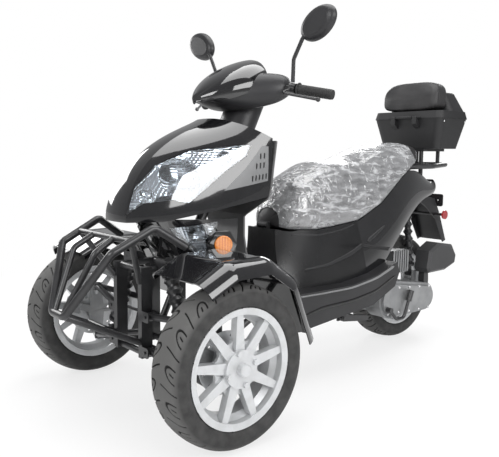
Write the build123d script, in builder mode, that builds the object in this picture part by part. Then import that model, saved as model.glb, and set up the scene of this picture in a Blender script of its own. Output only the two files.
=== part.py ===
from build123d import *
import os
from math import cos, radians, sin, tan

os.makedirs("parts", exist_ok=True)

# Motor trike: two steered wheels in front, one driven wheel behind.
# The front faces -Y, the left side is +X and the ground is Z = 0.
# Stations are measured behind the front axle, heights above the ground.

# Overall layout
wheelbase = 1330.0
track = 880.0
front_reach = 340.0
rear_reach = 1670.0
front_axle_y = -(rear_reach - front_reach) / 2
fit = 0.3
pin_fit = 0.1
skin = 4.0

# Tyres and rims
tyre_radius = 243.0
tyre_width = 132.0
bead_radius = 165.0
flange_radius = 178.0
flange_thickness = 5.0
rim_width = 114.0
barrel_wall = 7.0
well_radius = 149.0
spoke_count = 9
hub_radius = 56.0
cap_radius = 19.0
cap_proud = 76.0
axle_radius = 10.0
disc_radius = 95.0
disc_thickness = 5.0
disc_inset = 25.0

# Steering
rake = 26.0
column_station = 400.0
column_height = 1000.0
column_radius = 12.5
column_foot_z = 285.0
head_tube_wall = 6.0
pitman_length = 90.0
knuckle_arm_length = 110.0
rod_radius = 6.0
rod_pin_radius = 5.0
rod_eye_radius = 14.0
rod_eye_thickness = 8.0
rod_eye_slack = 2.5

# Front suspension
kingpin_x = 378.0
kingpin_radius = 6.0
upper_ball_z = 341.0
lower_ball_z = 150.0
upper_pivot_x = 112.0
upper_pivot_z = 330.0
lower_pivot_x = 108.0
lower_pivot_z = 212.0
arm_tube_radius = 11.0
bush_radius = 14.0
bush_length = 32.0
shock_top_x = 116.0
shock_top_z = 494.0
shock_foot_x = 246.0
shock_foot_z = 208.0

# Bodywork
fender_inner_x = 226.0
fender_outer_x = 508.0
footboard_half_width = 236.0
trunk_front_s = 1405.0
trunk_back_s = 1640.0
trunk_half_width = 190.0
trunk_floor_z = 888.0
trunk_rim_z = 1026.0
trunk_wall = 4.0

side = Plane(origin=(0, front_axle_y, 0), x_dir=(0, 1, 0), z_dir=(1, 0, 0))
rake_sin = sin(radians(rake))
rake_cos = cos(radians(rake))
column_foot_s = column_station - (column_height - column_foot_z) * tan(radians(rake))


def spot(x, s, z):
    return Vector(x, front_axle_y + s, z)


column = Plane(origin=spot(0, column_foot_s, column_foot_z), x_dir=(1, 0, 0), z_dir=(0, rake_sin, rake_cos))


def along_column(z):
    return (z - column_foot_z) / rake_cos


# A round bar along straight runs joined by tangent arcs
def tube(points, radius, bend=0.0):
    route = [spot(*point) for point in points]
    with BuildPart(mode=Mode.PRIVATE) as run:
        with BuildLine() as path:
            if len(route) == 2:
                Line(*route)
            else:
                FilletPolyline(*route, radius=bend)
        with BuildSketch(Plane(origin=path.line @ 0, z_dir=path.line % 0)):
            Circle(radius)
        sweep()
    return run.part


def mirrored(solid):
    return solid.mirror(Plane.YZ)


def write(part, label):
    part.label = label
    export_step(part, f"parts/{label}.step")


# Wheels: one barrel and spoke pattern for all three rims
half_rim = rim_width / 2
seat_width = half_rim - flange_thickness
barrel_outline = [
    (flange_radius, -half_rim),
    (flange_radius, -seat_width),
    (bead_radius, -seat_width),
    (bead_radius, -28.0),
    (well_radius, -14.0),
    (well_radius, 14.0),
    (bead_radius, 28.0),
    (bead_radius, seat_width),
    (flange_radius, seat_width),
    (flange_radius, half_rim),
    (flange_radius - 4.0, half_rim),
    (bead_radius - barrel_wall, seat_width + 1.0),
    (bead_radius - barrel_wall, 30.0),
    (well_radius - barrel_wall, 16.0),
    (well_radius - barrel_wall, -16.0),
    (bead_radius - barrel_wall, -30.0),
    (bead_radius - barrel_wall, -1.0 - seat_width),
    (flange_radius - 4.0, -half_rim),
]
spoke_root_half = 17.0
spoke_tip_half = 11.0
spoke_back = 20.0
spoke_front = 46.0
spoke_lead = 10.0
web_radius = 100.0
web_cut = 21.0
web_thickness = 12.0
hub_front = 54.0
lug_pcd = 100.0


# A wheel frame: local x is the radius, local z points out along the axle
def wheel_plane(x, s, outward):
    return Plane(origin=spot(x, s, tyre_radius), x_dir=(0, 1, 0), z_dir=(outward, 0, 0))


def rim(plane, with_disc):
    radial = Plane(origin=plane.origin, x_dir=plane.x_dir, z_dir=plane.x_dir.cross(plane.z_dir))
    with BuildPart() as wheel:
        with BuildSketch(radial):
            with BuildLine():
                Polyline(*barrel_outline, close=True)
            make_face()
        revolve(axis=Axis(plane.origin, plane.z_dir))
        reach = bead_radius - barrel_wall + 1.0
        with BuildSketch(plane.offset(spoke_back)):
            with PolarLocations(0, spoke_count, start_angle=spoke_lead):
                Polygon(
                    (hub_radius - 12.0, -spoke_root_half),
                    (reach, -spoke_tip_half),
                    (reach, spoke_tip_half),
                    (hub_radius - 12.0, spoke_root_half),
                    align=None,
                )
        extrude(amount=spoke_front - spoke_back)
        with BuildSketch(plane.offset(spoke_back)):
            Circle(web_radius)
            with PolarLocations(web_radius, spoke_count, start_angle=spoke_lead + 180.0 / spoke_count):
                Circle(web_cut, mode=Mode.SUBTRACT)
        extrude(amount=web_thickness)
        with BuildSketch(plane.offset(-disc_inset + disc_thickness / 2)):
            Circle(hub_radius * 0.7)
        extrude(amount=disc_inset + hub_front - disc_thickness / 2)
        with BuildSketch(plane.offset(spoke_back - 6.0)):
            Circle(hub_radius)
        extrude(amount=hub_front - spoke_back + 6.0)
        with BuildSketch(plane.offset(hub_front)):
            Circle(cap_radius)
        extrude(amount=cap_proud - hub_front)
        chamfer(wheel.faces().sort_by(Axis(plane.origin, plane.z_dir))[-1].edges(), 3.0)
        with BuildSketch(plane.offset(hub_front)):
            with PolarLocations(lug_pcd / 2, 4, start_angle=15.0):
                RegularPolygon(9.0, 6)
        extrude(amount=9.0)
        with BuildSketch(plane.offset(-disc_inset - disc_thickness)):
            Circle(axle_radius + pin_fit)
        extrude(amount=disc_inset + disc_thickness + cap_proud - 6.0, mode=Mode.SUBTRACT)
    pieces = [wheel.part]
    if with_disc:
        with BuildPart() as disc:
            with BuildSketch(plane.offset(-disc_inset - disc_thickness / 2)):
                Circle(disc_radius)
                Circle(disc_radius * 0.36, mode=Mode.SUBTRACT)
                with PolarLocations(disc_radius * 0.66, 6):
                    Circle(8.0, mode=Mode.SUBTRACT)
                with PolarLocations(disc_radius * 0.86, 12, start_angle=15.0):
                    Circle(4.5, mode=Mode.SUBTRACT)
            extrude(amount=disc_thickness)
        pieces.append(disc.part)
    return pieces


def tyre(plane):
    radial = Plane(origin=plane.origin, x_dir=plane.x_dir, z_dir=plane.x_dir.cross(plane.z_dir))
    bead = bead_radius + fit
    lip = flange_radius + fit
    half = tyre_width / 2
    with BuildPart() as rubber:
        with BuildSketch(radial):
            with BuildLine():
                Line((bead, fit - seat_width), (bead, seat_width - fit))
                Line((bead, seat_width - fit), (lip, seat_width - fit))
                Line((lip, seat_width - fit), (lip, half_rim - 2.0))
                ThreePointArc((lip, half_rim - 2.0), (206.0, half), (230.0, half - 8.0))
                ThreePointArc((230.0, half - 8.0), (236.0, half - 16.0), (239.0, half - 26.0))
                ThreePointArc((239.0, half - 26.0), (tyre_radius, 0), (239.0, 26.0 - half))
                ThreePointArc((239.0, 26.0 - half), (236.0, 16.0 - half), (230.0, 8.0 - half))
                ThreePointArc((230.0, 8.0 - half), (206.0, -half), (lip, 2.0 - half_rim))
                Line((lip, 2.0 - half_rim), (lip, fit - seat_width))
                Line((lip, fit - seat_width), (bead, fit - seat_width))
            make_face()
        revolve(axis=Axis(plane.origin, plane.z_dir))
    return rubber.part


front_left_wheel = wheel_plane(track / 2, 0, 1)
rear_wheel = wheel_plane(0, wheelbase, -1)

with BuildPart() as front_rim_left:
    add(rim(front_left_wheel, True))
with BuildPart() as front_tyre_left:
    add(tyre(front_left_wheel))
with BuildPart() as front_rim_right:
    add(mirrored(front_rim_left.part))
with BuildPart() as front_tyre_right:
    add(mirrored(front_tyre_left.part))
with BuildPart() as rear_rim:
    add(rim(rear_wheel, False))
with BuildPart() as rear_tyre:
    add(tyre(rear_wheel))
write(front_rim_left.part, "front_rim_left")
write(front_rim_right.part, "front_rim_right")
write(front_tyre_left.part, "front_tyre_left")
write(front_tyre_right.part, "front_tyre_right")
write(rear_rim.part, "rear_rim")
write(rear_tyre.part, "rear_tyre")

# Knuckles: upright, kingpin studs, stub axle, steering arm and caliper
upright_thickness = 14.0
upright_x = kingpin_x + 8.0
lug_height = 16.0
stud_length = 24.0
upper_eye_height = 26.0
lower_eye_height = 26.0
arm_top_z = column_foot_z - pitman_length * rake_sin
knuckle_arm_thickness = 10.0
rod_eye_z = arm_top_z + 5.0
upper_lug_top = upper_ball_z - upper_eye_height / 2 - fit
lower_lug_foot = lower_ball_z + lower_eye_height / 2 + fit
arm_face_z = rod_eye_z - rod_eye_thickness / 2 - fit
caliper_inner = 62.0
caliper_outer = 114.0
caliper_angle = 20.0
caliper_half_width = 16.0
caliper_half_length = 28.0
disc_slot = disc_thickness + 3.0
disc_x = track / 2 - disc_inset

with BuildPart() as knuckle_left:
    with BuildSketch(side.offset(upright_x)):
        with BuildLine():
            Polyline(
                (-20.0, lower_lug_foot),
                (20.0, lower_lug_foot),
                (30.0, tyre_radius),
                (20.0, upper_lug_top),
                (-20.0, upper_lug_top),
                (-30.0, tyre_radius),
                close=True,
            )
        make_face()
    extrude(amount=upright_thickness)
    for foot in (lower_lug_foot, upper_lug_top - lug_height):
        with BuildSketch(Plane(origin=spot(kingpin_x, 0, foot))):
            Circle(13.0)
            with Locations((9.0, 0)):
                Rectangle(18.0, 26.0)
        extrude(amount=lug_height)
    with BuildSketch(Plane(origin=spot(kingpin_x, 0, lower_lug_foot - stud_length))):
        Circle(kingpin_radius)
    extrude(amount=stud_length)
    with BuildSketch(Plane(origin=spot(kingpin_x, 0, upper_lug_top))):
        Circle(kingpin_radius)
    extrude(amount=stud_length)
    with BuildSketch(front_left_wheel.offset(upright_x - track / 2)):
        Circle(27.0)
    extrude(amount=upright_thickness + 8.0)
    with BuildSketch(front_left_wheel.offset(upright_x - track / 2)):
        Circle(axle_radius)
    extrude(amount=track / 2 + cap_proud - upright_x - 10.0)
    with BuildSketch(Plane(origin=spot(0, 0, arm_face_z - knuckle_arm_thickness))):
        with BuildLine():
            Polyline(
                (upright_x, -12.0),
                (upright_x + upright_thickness, -12.0),
                (upright_x + upright_thickness, 18.0),
                (kingpin_x + 9.0, knuckle_arm_length),
                (kingpin_x - 9.0, knuckle_arm_length),
                (upright_x - 4.0, 18.0),
                close=True,
            )
        make_face()
        with Locations((kingpin_x, knuckle_arm_length)):
            Circle(12.0)
    extrude(amount=knuckle_arm_thickness)
    with BuildSketch(Plane(origin=spot(kingpin_x, knuckle_arm_length, arm_face_z))):
        Circle(rod_pin_radius)
    extrude(amount=rod_eye_thickness + 12.0)
    with BuildSketch(Plane(origin=spot(kingpin_x, knuckle_arm_length, arm_face_z + rod_eye_thickness + 9.0))):
        Circle(rod_pin_radius + rod_eye_slack + 1.5)
    extrude(amount=4.0)
    caliper = Plane(
        origin=spot(disc_x, 0, tyre_radius),
        x_dir=(0, -cos(radians(caliper_angle)), sin(radians(caliper_angle))),
        z_dir=(1, 0, 0),
    )
    caliper_middle = (caliper_inner + caliper_outer) / 2
    with BuildSketch(caliper.offset(-caliper_half_width)):
        with Locations((caliper_middle, 0)):
            RectangleRounded(caliper_outer - caliper_inner, 2 * caliper_half_length, 8.0)
    extrude(amount=2 * caliper_half_width)
    with BuildSketch(caliper.offset(-disc_slot / 2)):
        with Locations((caliper_inner - 4.0, 0)):
            Rectangle(2 * (disc_radius + 3.0 - caliper_inner) + 8.0, 2 * caliper_half_length + 2.0)
    extrude(amount=disc_slot, mode=Mode.SUBTRACT)
    with BuildSketch(caliper.offset(upright_x - disc_x)):
        with Locations((42.0, 0)):
            Rectangle(60.0, 26.0)
    extrude(amount=disc_x - caliper_half_width - upright_x + 6.0)
with BuildPart() as knuckle_right:
    add(mirrored(knuckle_left.part))
write(knuckle_left.part, "knuckle_left")
write(knuckle_right.part, "knuckle_right")


# Tie rods: a tilted eye on the pitman pin, a loose upright eye on the knuckle pin
pitman_thickness = 10.0
rod_levels = {"left": pitman_thickness + rod_eye_thickness / 2 + fit, "right": -rod_eye_thickness / 2 - fit}


def tie_rod(level, end_x):
    inner_plane = column.offset(level - rod_eye_thickness / 2)
    inner = column.from_local_coords((0, pitman_length, level))
    outer = spot(end_x, knuckle_arm_length, rod_eye_z)
    reach = outer - inner
    unit = reach.normalized()
    start = inner + unit * (rod_eye_radius - 4.0)
    with BuildPart() as rod:
        with BuildSketch(inner_plane):
            with Locations((0, pitman_length)):
                Circle(rod_eye_radius)
        extrude(amount=rod_eye_thickness)
        with BuildSketch(Plane(origin=outer - Vector(0, 0, rod_eye_thickness / 2))):
            Circle(rod_eye_radius)
        extrude(amount=rod_eye_thickness)
        with BuildSketch(Plane(origin=start, z_dir=unit)):
            Circle(rod_radius - 2.5)
        extrude(amount=reach.length - 2 * rod_eye_radius + 8.0)
        with BuildSketch(Plane(origin=inner + unit * 36.0, z_dir=unit)):
            Circle(rod_radius)
        extrude(amount=reach.length - 72.0)
        with BuildSketch(inner_plane):
            with Locations((0, pitman_length)):
                Circle(rod_pin_radius + pin_fit)
        extrude(amount=rod_eye_thickness, mode=Mode.SUBTRACT)
        with BuildSketch(Plane(origin=outer - Vector(0, 0, rod_eye_thickness / 2))):
            Circle(rod_pin_radius + rod_eye_slack)
        extrude(amount=rod_eye_thickness, mode=Mode.SUBTRACT)
    return rod.part


with BuildPart() as tie_rod_left:
    add(tie_rod(rod_levels["left"], kingpin_x))
with BuildPart() as tie_rod_right:
    add(tie_rod(rod_levels["right"], -kingpin_x))
write(tie_rod_left.part, "tie_rod_left")
write(tie_rod_right.part, "tie_rod_right")

# Suspension arms: two tubes from the ball eye to the bushes, and the shock's foot bracket
arm_pivot_s = 66.0
bolt_radius = 5.0
arms = {
    "upper_arms": (upper_pivot_x, upper_pivot_z, upper_ball_z, upper_eye_height),
    "lower_arms": (lower_pivot_x, lower_pivot_z, lower_ball_z, lower_eye_height),
}
shock_fork_half = 17.0


def arm(pivot_x, pivot_z, ball_z, eye_height, has_fork):
    with BuildPart() as link:
        for end in (-1, 1):
            add(
                tube(
                    [(pivot_x, end * arm_pivot_s, pivot_z), (kingpin_x - 6.0, end * 3.0, ball_z)],
                    arm_tube_radius,
                )
            )
            with BuildSketch(
                Plane(origin=spot(pivot_x, end * arm_pivot_s - bush_length / 2, pivot_z), z_dir=(0, 1, 0))
            ):
                Circle(bush_radius)
            extrude(amount=bush_length)
        with BuildSketch(Plane(origin=spot(kingpin_x, 0, ball_z - eye_height / 2))):
            Circle(15.0)
        extrude(amount=eye_height)
        if has_fork:
            share = (shock_foot_x - pivot_x) / (kingpin_x - pivot_x)
            rung_z = pivot_z + share * (ball_z - pivot_z)
            add(
                tube(
                    [
                        (shock_foot_x, -arm_pivot_s * (1 - share), rung_z),
                        (shock_foot_x, arm_pivot_s * (1 - share), rung_z),
                    ],
                    9.0,
                )
            )
            for end in (-1, 1):
                with BuildSketch(side.offset(shock_foot_x - 11.0)):
                    with Locations((end * (shock_fork_half + 2.5), (shock_foot_z + rung_z) / 2 + 2.0)):
                        Rectangle(5.0, shock_foot_z - rung_z + 24.0)
                extrude(amount=22.0)
            with BuildSketch(
                Plane(origin=spot(shock_foot_x, -shock_fork_half - 5.0, shock_foot_z), z_dir=(0, 1, 0))
            ):
                Circle(bolt_radius)
            extrude(amount=2 * shock_fork_half + 10.0)
        for end in (-1, 1):
            with BuildSketch(
                Plane(origin=spot(pivot_x, end * arm_pivot_s - bush_length / 2, pivot_z), z_dir=(0, 1, 0))
            ):
                Circle(bolt_radius + fit)
            extrude(amount=bush_length, mode=Mode.SUBTRACT)
        with BuildSketch(Plane(origin=spot(kingpin_x, 0, ball_z - eye_height / 2 - 2.0))):
            Circle(kingpin_radius + pin_fit)
        extrude(amount=eye_height + 4.0, mode=Mode.SUBTRACT)
    return link.part


for label, (pivot_x, pivot_z, ball_z, eye_height) in arms.items():
    one = arm(pivot_x, pivot_z, ball_z, eye_height, label == "lower_arms")
    with BuildPart() as pair:
        add(one)
        add(mirrored(one))
    write(pair.part, label)


# Shocks: damper rod, body and a ribbed spring sleeve between two eyes
def shock(top, foot, spring_radius, eye_length, cross_axis):
    axis_way = (top - foot).normalized()
    length = (top - foot).length
    spring_start = 46.0
    spring_end = length - 40.0
    turns = 7
    pitch = (spring_end - spring_start) / turns
    profile = Plane(origin=foot, x_dir=axis_way.cross(cross_axis), z_dir=cross_axis)
    outline = [
        (0, 10.0),
        (9.0, 10.0),
        (9.0, spring_start - 8.0),
        (spring_radius, spring_start - 8.0),
        (spring_radius, spring_start),
    ]
    for turn in range(turns):
        low = spring_start + turn * pitch
        outline.append((spring_radius - 9.0, low + pitch * 0.12))
        outline.append((spring_radius - 1.0, low + pitch * 0.5))
        outline.append((spring_radius - 9.0, low + pitch * 0.88))
    outline += [
        (spring_radius, spring_end),
        (spring_radius, spring_end + 8.0),
        (16.0, spring_end + 8.0),
        (16.0, length - 10.0),
        (0, length - 10.0),
    ]
    with BuildPart() as damper:
        with BuildSketch(profile):
            with BuildLine():
                Polyline(*outline, close=True)
            make_face()
        revolve(axis=Axis(foot, axis_way))
        for middle in (top, foot):
            with BuildSketch(Plane(origin=middle - cross_axis * (eye_length / 2), z_dir=cross_axis)):
                Circle(14.0)
            extrude(amount=eye_length)
        for middle in (top, foot):
            with BuildSketch(Plane(origin=middle - cross_axis * (eye_length / 2 + 1.0), z_dir=cross_axis)):
                Circle(bolt_radius + fit)
            extrude(amount=eye_length + 2.0, mode=Mode.SUBTRACT)
    return damper.part


front_spring_radius = 29.0
shock_eye_length = 2 * shock_fork_half - 2 * fit
front_shock = shock(
    spot(shock_top_x, 0, shock_top_z),
    spot(shock_foot_x, 0, shock_foot_z),
    front_spring_radius,
    shock_eye_length,
    Vector(0, 1, 0),
)
with BuildPart() as front_shocks:
    add(front_shock)
    add(mirrored(front_shock))
write(front_shocks.part, "front_shocks")

# Main frame: suspension towers, lower rails that rise to the tail, head tube and backbone
tower_x = 80.0
clevis_plate = 4.0
tower_depth = bush_length + 2 * fit + 2 * clevis_plate
tower_width = 22.0
tower_foot_z = 188.0
cross_radius = 11.0
tower_top_z = 487.0
beam_z = tower_top_z - cross_radius
rail_radius = 13.0
stay_s = 34.0
stay_radius = 8.0
tail_cross_s = 1455.0
tail_cross_z = 712.0
stand_pivot_s = 878.0
stand_pivot_z = 172.0
stand_pin_radius = 8.0
stand_leg_x = 103.0
stand_barrel_half = 9.0
rear_shock_x = 100.0
rear_shock_top = (rear_shock_x, 1300.0, 630.0)
rear_shock_foot = (rear_shock_x, 1345.0, 312.0)
rear_eye_length = 36.0
rear_spring_radius = 23.0
rear_plate = 4.0
rear_plate_x = rear_shock_x + rear_eye_length / 2 + fit
rail_route = [
    (tower_x, arm_pivot_s, 200.0),
    (tower_x, 300.0, 200.0),
    (88.0, 420.0, 268.0),
    (88.0, 900.0, 268.0),
    (92.0, 1000.0, 372.0),
    (95.0, 1190.0, 640.0),
    (92.0, tail_cross_s + 12.0, tail_cross_z + 3.0),
]
head_tube_foot = along_column(400.0)
head_tube_top = along_column(852.0)
head_tube_radius = column_radius + fit + head_tube_wall

with BuildPart() as frame:
    for hand in (-1, 1):
        for end in (-1, 1):
            with BuildSketch(Plane(origin=spot(hand * tower_x, end * arm_pivot_s, tower_foot_z))):
                Rectangle(tower_width, tower_depth)
            extrude(amount=tower_top_z - tower_foot_z)
            for pivot_x, pivot_z in ((upper_pivot_x, upper_pivot_z), (lower_pivot_x, lower_pivot_z)):
                for face in (-1, 1):
                    middle = end * arm_pivot_s + face * (bush_length / 2 + fit + clevis_plate / 2)
                    with BuildSketch(
                        Plane(
                            origin=spot(0, middle - clevis_plate / 2, 0), x_dir=(1, 0, 0), z_dir=(0, 1, 0)
                        )
                    ):
                        with Locations((hand * (tower_x + pivot_x) / 2 + hand * 6.0, -pivot_z)):
                            RectangleRounded(pivot_x - tower_x + 26.0, 34.0, 8.0)
                    extrude(amount=clevis_plate)
                start = end * arm_pivot_s - bush_length / 2 - 8.0
                with BuildSketch(Plane(origin=spot(hand * pivot_x, start, pivot_z), z_dir=(0, 1, 0))):
                    Circle(bolt_radius)
                extrude(amount=bush_length + 16.0)
        add(tube([(hand * x, s, z) for x, s, z in rail_route], rail_radius, 70.0))
        add(
            tube(
                [(hand * tower_x, -arm_pivot_s, beam_z), (hand * tower_x, arm_pivot_s, beam_z)],
                cross_radius,
            )
        )
        add(tube([(hand * tower_x, -arm_pivot_s, 200.0), (hand * tower_x, arm_pivot_s, 200.0)], cross_radius))
        add(tube([(hand * tower_x, arm_pivot_s, beam_z), (0, 172.0, 520.0)], cross_radius))
        for face in (-1, 1):
            middle = face * (shock_fork_half + 2.5)
            with BuildSketch(Plane(origin=spot(0, middle - 2.5, 0), x_dir=(1, 0, 0), z_dir=(0, 1, 0))):
                with Locations((hand * (tower_x + shock_top_x) / 2 + hand * 6.0, -shock_top_z)):
                    RectangleRounded(shock_top_x - tower_x + 26.0, 34.0, 8.0)
            extrude(amount=5.0)
        with BuildSketch(
            Plane(origin=spot(hand * shock_top_x, -shock_fork_half - 6.0, shock_top_z), z_dir=(0, 1, 0))
        ):
            Circle(bolt_radius)
        extrude(amount=2 * shock_fork_half + 12.0)
        add(
            tube(
                [
                    (hand * tower_x, stay_s, beam_z),
                    (hand * 120.0, stay_s, 500.0),
                    (hand * 300.0, stay_s, 528.0),
                ],
                stay_radius,
                30.0,
            )
        )
    cross_bars = [
        (-arm_pivot_s, 200.0),
        (-arm_pivot_s, beam_z),
        (arm_pivot_s, 200.0),
        (arm_pivot_s, beam_z),
        (430.0, 268.0),
        (890.0, 268.0),
    ]
    for station, height in cross_bars:
        add(tube([(-tower_x - 8.0, station, height), (tower_x + 8.0, station, height)], cross_radius))
    add(tube([(-94.0, 1190.0, 640.0), (94.0, 1190.0, 640.0)], cross_radius))
    add(tube([(-92.0, tail_cross_s, tail_cross_z), (92.0, tail_cross_s, tail_cross_z)], cross_radius))
    for hand in (-1, 1):
        with BuildSketch(side.offset(hand * 88.0 - 4.0)):
            with Locations((stand_pivot_s, (stand_pivot_z + 262.0) / 2 - 5.0)):
                Rectangle(34.0, 262.0 - stand_pivot_z + 18.0)
        extrude(amount=8.0)
    with BuildSketch(side.offset(-stand_leg_x - stand_barrel_half - 3.0)):
        with Locations((stand_pivot_s, stand_pivot_z)):
            Circle(stand_pin_radius)
    extrude(amount=2 * (stand_leg_x + stand_barrel_half + 3.0))
    for start in (rear_plate_x, 2 * rear_shock_x - rear_plate_x - rear_plate):
        with BuildSketch(side.offset(start)):
            with Locations((rear_shock_top[1], rear_shock_top[2] + 20.0)):
                Rectangle(30.0, 64.0)
        extrude(amount=rear_plate)
    with BuildSketch(side.offset(2 * rear_shock_x - rear_plate_x - rear_plate)):
        with Locations((rear_shock_top[1], rear_shock_top[2] + 42.0)):
            Rectangle(30.0, 14.0)
    extrude(amount=2 * (rear_plate_x + rear_plate - rear_shock_x))
    with BuildSketch(side.offset(2 * rear_shock_x - rear_plate_x - rear_plate - 2.0)):
        with Locations((rear_shock_top[1], rear_shock_top[2])):
            Circle(bolt_radius)
    extrude(amount=2 * (rear_plate_x + rear_plate + 2.0 - rear_shock_x))
    with BuildSketch(Plane(origin=spot(0, 890.0, 268.0))):
        with Locations((0, 30.0)):
            Rectangle(50.0, 66.0)
    extrude(amount=12.0)
    add(tube([(0, 214.0, 600.0), (0, 330.0, 430.0), (0, 430.0, 268.0)], 16.0, 60.0))
    with BuildSketch(column.offset(head_tube_foot)):
        Circle(head_tube_radius)
    extrude(amount=head_tube_top - head_tube_foot)
    with BuildSketch(column.offset(head_tube_foot - 20.0)):
        Circle(column_radius + fit)
    extrude(amount=head_tube_top - head_tube_foot + 40.0, mode=Mode.SUBTRACT)
write(frame.part, "frame")

# Steering: bar, column, pitman arm and brake levers turn together
bar_radius = 11.0
bar_end = (355.0, 498.0, 1055.0)
bar_inner = (200.0, 450.0, 1085.0)
bar_clamp = (64.0, 424.0, 1066.0)
perch_radius = 18.0
lever_radius = 5.0
grip_radius = 16.5
stem_radius = 7.0
bar_route = [bar_end, bar_inner, bar_clamp]
bar_route += [(-x, s, z) for x, s, z in reversed(bar_route)]
bar_tube = tube(bar_route, bar_radius, 40.0)
bar_start = spot(*bar_end)
bar_unit = (spot(*bar_inner) - bar_start).normalized()
bar_run = (spot(*bar_inner) - bar_start).length
perch_start = bar_run - 28.0
lever = tube([(214.0, 448.0, 1080.0), (214.0, 398.0, 1064.0), (344.0, 446.0, 1036.0)], lever_radius, 14.0)
column_top = along_column(1074.0)

with BuildPart() as handlebar:
    add(bar_tube)
    with BuildSketch(column.offset(-10.0)):
        Circle(column_radius)
    extrude(amount=column_top + 10.0)
    with BuildSketch(column):
        Circle(20.0)
        with Locations((0, pitman_length / 2)):
            Rectangle(18.0, pitman_length)
        with Locations((0, pitman_length)):
            Circle(12.0)
    extrude(amount=10.0)
    with BuildSketch(column.offset(-rod_eye_thickness - 2 * fit - 3.0)):
        with Locations((0, pitman_length)):
            Circle(rod_pin_radius)
    extrude(amount=2 * rod_eye_thickness + 4 * fit + 16.0)
    for level in (-rod_eye_thickness - 2 * fit - 4.0, 10.0 + rod_eye_thickness + 2 * fit):
        with BuildSketch(column.offset(level)):
            with Locations((0, pitman_length)):
                RegularPolygon(8.5, 6)
        extrude(amount=4.0)
    for hand in (-1, 1):
        perch_plane = Plane(
            origin=Vector(
                hand * (bar_start.X + bar_unit.X * perch_start),
                bar_start.Y + bar_unit.Y * perch_start,
                bar_start.Z + bar_unit.Z * perch_start,
            ),
            z_dir=(hand * bar_unit.X, bar_unit.Y, bar_unit.Z),
        )
        with BuildSketch(perch_plane):
            Circle(perch_radius)
        extrude(amount=24.0)
    add(lever)
    add(mirrored(lever))
    for hand in (-1, 1):
        with Locations(spot(hand * 344.0, 446.0, 1036.0)):
            Sphere(8.0)
write(handlebar.part, "handlebar")

grip_length = bar_run - 34.0
with BuildPart() as grip:
    with BuildSketch(Plane(origin=bar_start - bar_unit * 6.0, z_dir=bar_unit)):
        Circle(grip_radius)
    extrude(amount=grip_length + 6.0)
    with BuildSketch(Plane(origin=bar_start - bar_unit * fit, z_dir=bar_unit)):
        Circle(bar_radius + pin_fit)
    extrude(amount=grip_length + 20.0, mode=Mode.SUBTRACT)
with BuildPart() as grips:
    add(grip.part)
    add(mirrored(grip.part))
write(grips.part, "grips")

# Mirrors: bent stems rise from the lever perches to leaf-shaped heads
mirror_head = (326.0, 452.0, 1288.0)
mirror_stem = [(216.0, 452.0, 1102.0), (222.0, 448.0, 1180.0), (262.0, 450.0, 1246.0), (300.0, 452.0, 1272.0)]
head_half_width = 80.0
head_half_height = 52.0
head_depth = 26.0
head_plane = Plane(
    origin=spot(*mirror_head), x_dir=(cos(radians(22.0)), 0, sin(radians(22.0))), z_dir=(0, 1, 0)
)
stem_tube = tube(mirror_stem, stem_radius, 26.0)
with BuildPart() as mirror_one:
    with BuildSketch(head_plane.offset(-head_depth / 2)):
        Ellipse(head_half_width * 0.72, head_half_height * 0.62)
    with BuildSketch(head_plane.offset(0.0)):
        Ellipse(head_half_width * 0.97, head_half_height * 0.96)
    with BuildSketch(head_plane.offset(head_depth / 2)):
        Ellipse(head_half_width, head_half_height)
    loft()
    add(stem_tube)
with BuildPart() as mirrors:
    add(mirror_one.part)
    add(mirrored(mirror_one.part))
write(mirrors.part, "mirrors")


# A closed section across the trike: flat or arched top, bulged sides, arched bottom
def cross_section(station, half_top, half_mid, half_foot, top, foot, crown=0.0, sag=0.0):
    plane = Plane(origin=spot(0, station, 0), x_dir=(1, 0, 0), z_dir=(0, -1, 0))
    middle = (top + foot) / 2
    with BuildSketch(plane) as section:
        with BuildLine():
            if crown:
                ThreePointArc((-half_top, top - crown), (0, top), (half_top, top - crown))
            else:
                Line((-half_top, top), (half_top, top))
            ThreePointArc((half_top, top - crown), (half_mid, middle), (half_foot, foot + sag))
            if sag:
                ThreePointArc((half_foot, foot + sag), (0, foot), (-half_foot, foot + sag))
            else:
                Line((half_foot, foot), (-half_foot, foot))
            ThreePointArc((-half_foot, foot + sag), (-half_mid, middle), (-half_top, top - crown))
        make_face()
    return section.sketch


# Cowl round the bar's middle, with a neck down to the shield and a visor in front
cowl_sections = [
    (204.0, 16.0, 20.0, 14.0, 1056.0, 1034.0),
    (262.0, 58.0, 84.0, 56.0, 1106.0, 1016.0),
    (340.0, 84.0, 126.0, 96.0, 1142.0, 1006.0),
    (420.0, 120.0, 182.0, 150.0, 1152.0, 1020.0),
    (486.0, 120.0, 176.0, 140.0, 1140.0, 1046.0),
]
visor_sections = [
    (196.0, 14.0, 26.0, 22.0, 1062.0, 1036.0),
    (262.0, 62.0, 92.0, 84.0, 1122.0, 1040.0),
    (340.0, 76.0, 118.0, 122.0, 1168.0, 1070.0),
    (424.0, 60.0, 96.0, 116.0, 1197.0, 1130.0),
]
visor_skin = 5.0
neck_top_z = 1050.0
neck_foot_gap = 9.0
shield_top_s = 300.0
shield_top_z = 944.0
shield_top = Plane(origin=spot(0, shield_top_s, shield_top_z), x_dir=(1, 0, 0), z_dir=(0, rake_sin, rake_cos))
neck_foot_level = column.to_local_coords(shield_top.origin).Z + neck_foot_gap
neck_front_radius = 62.0

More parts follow.
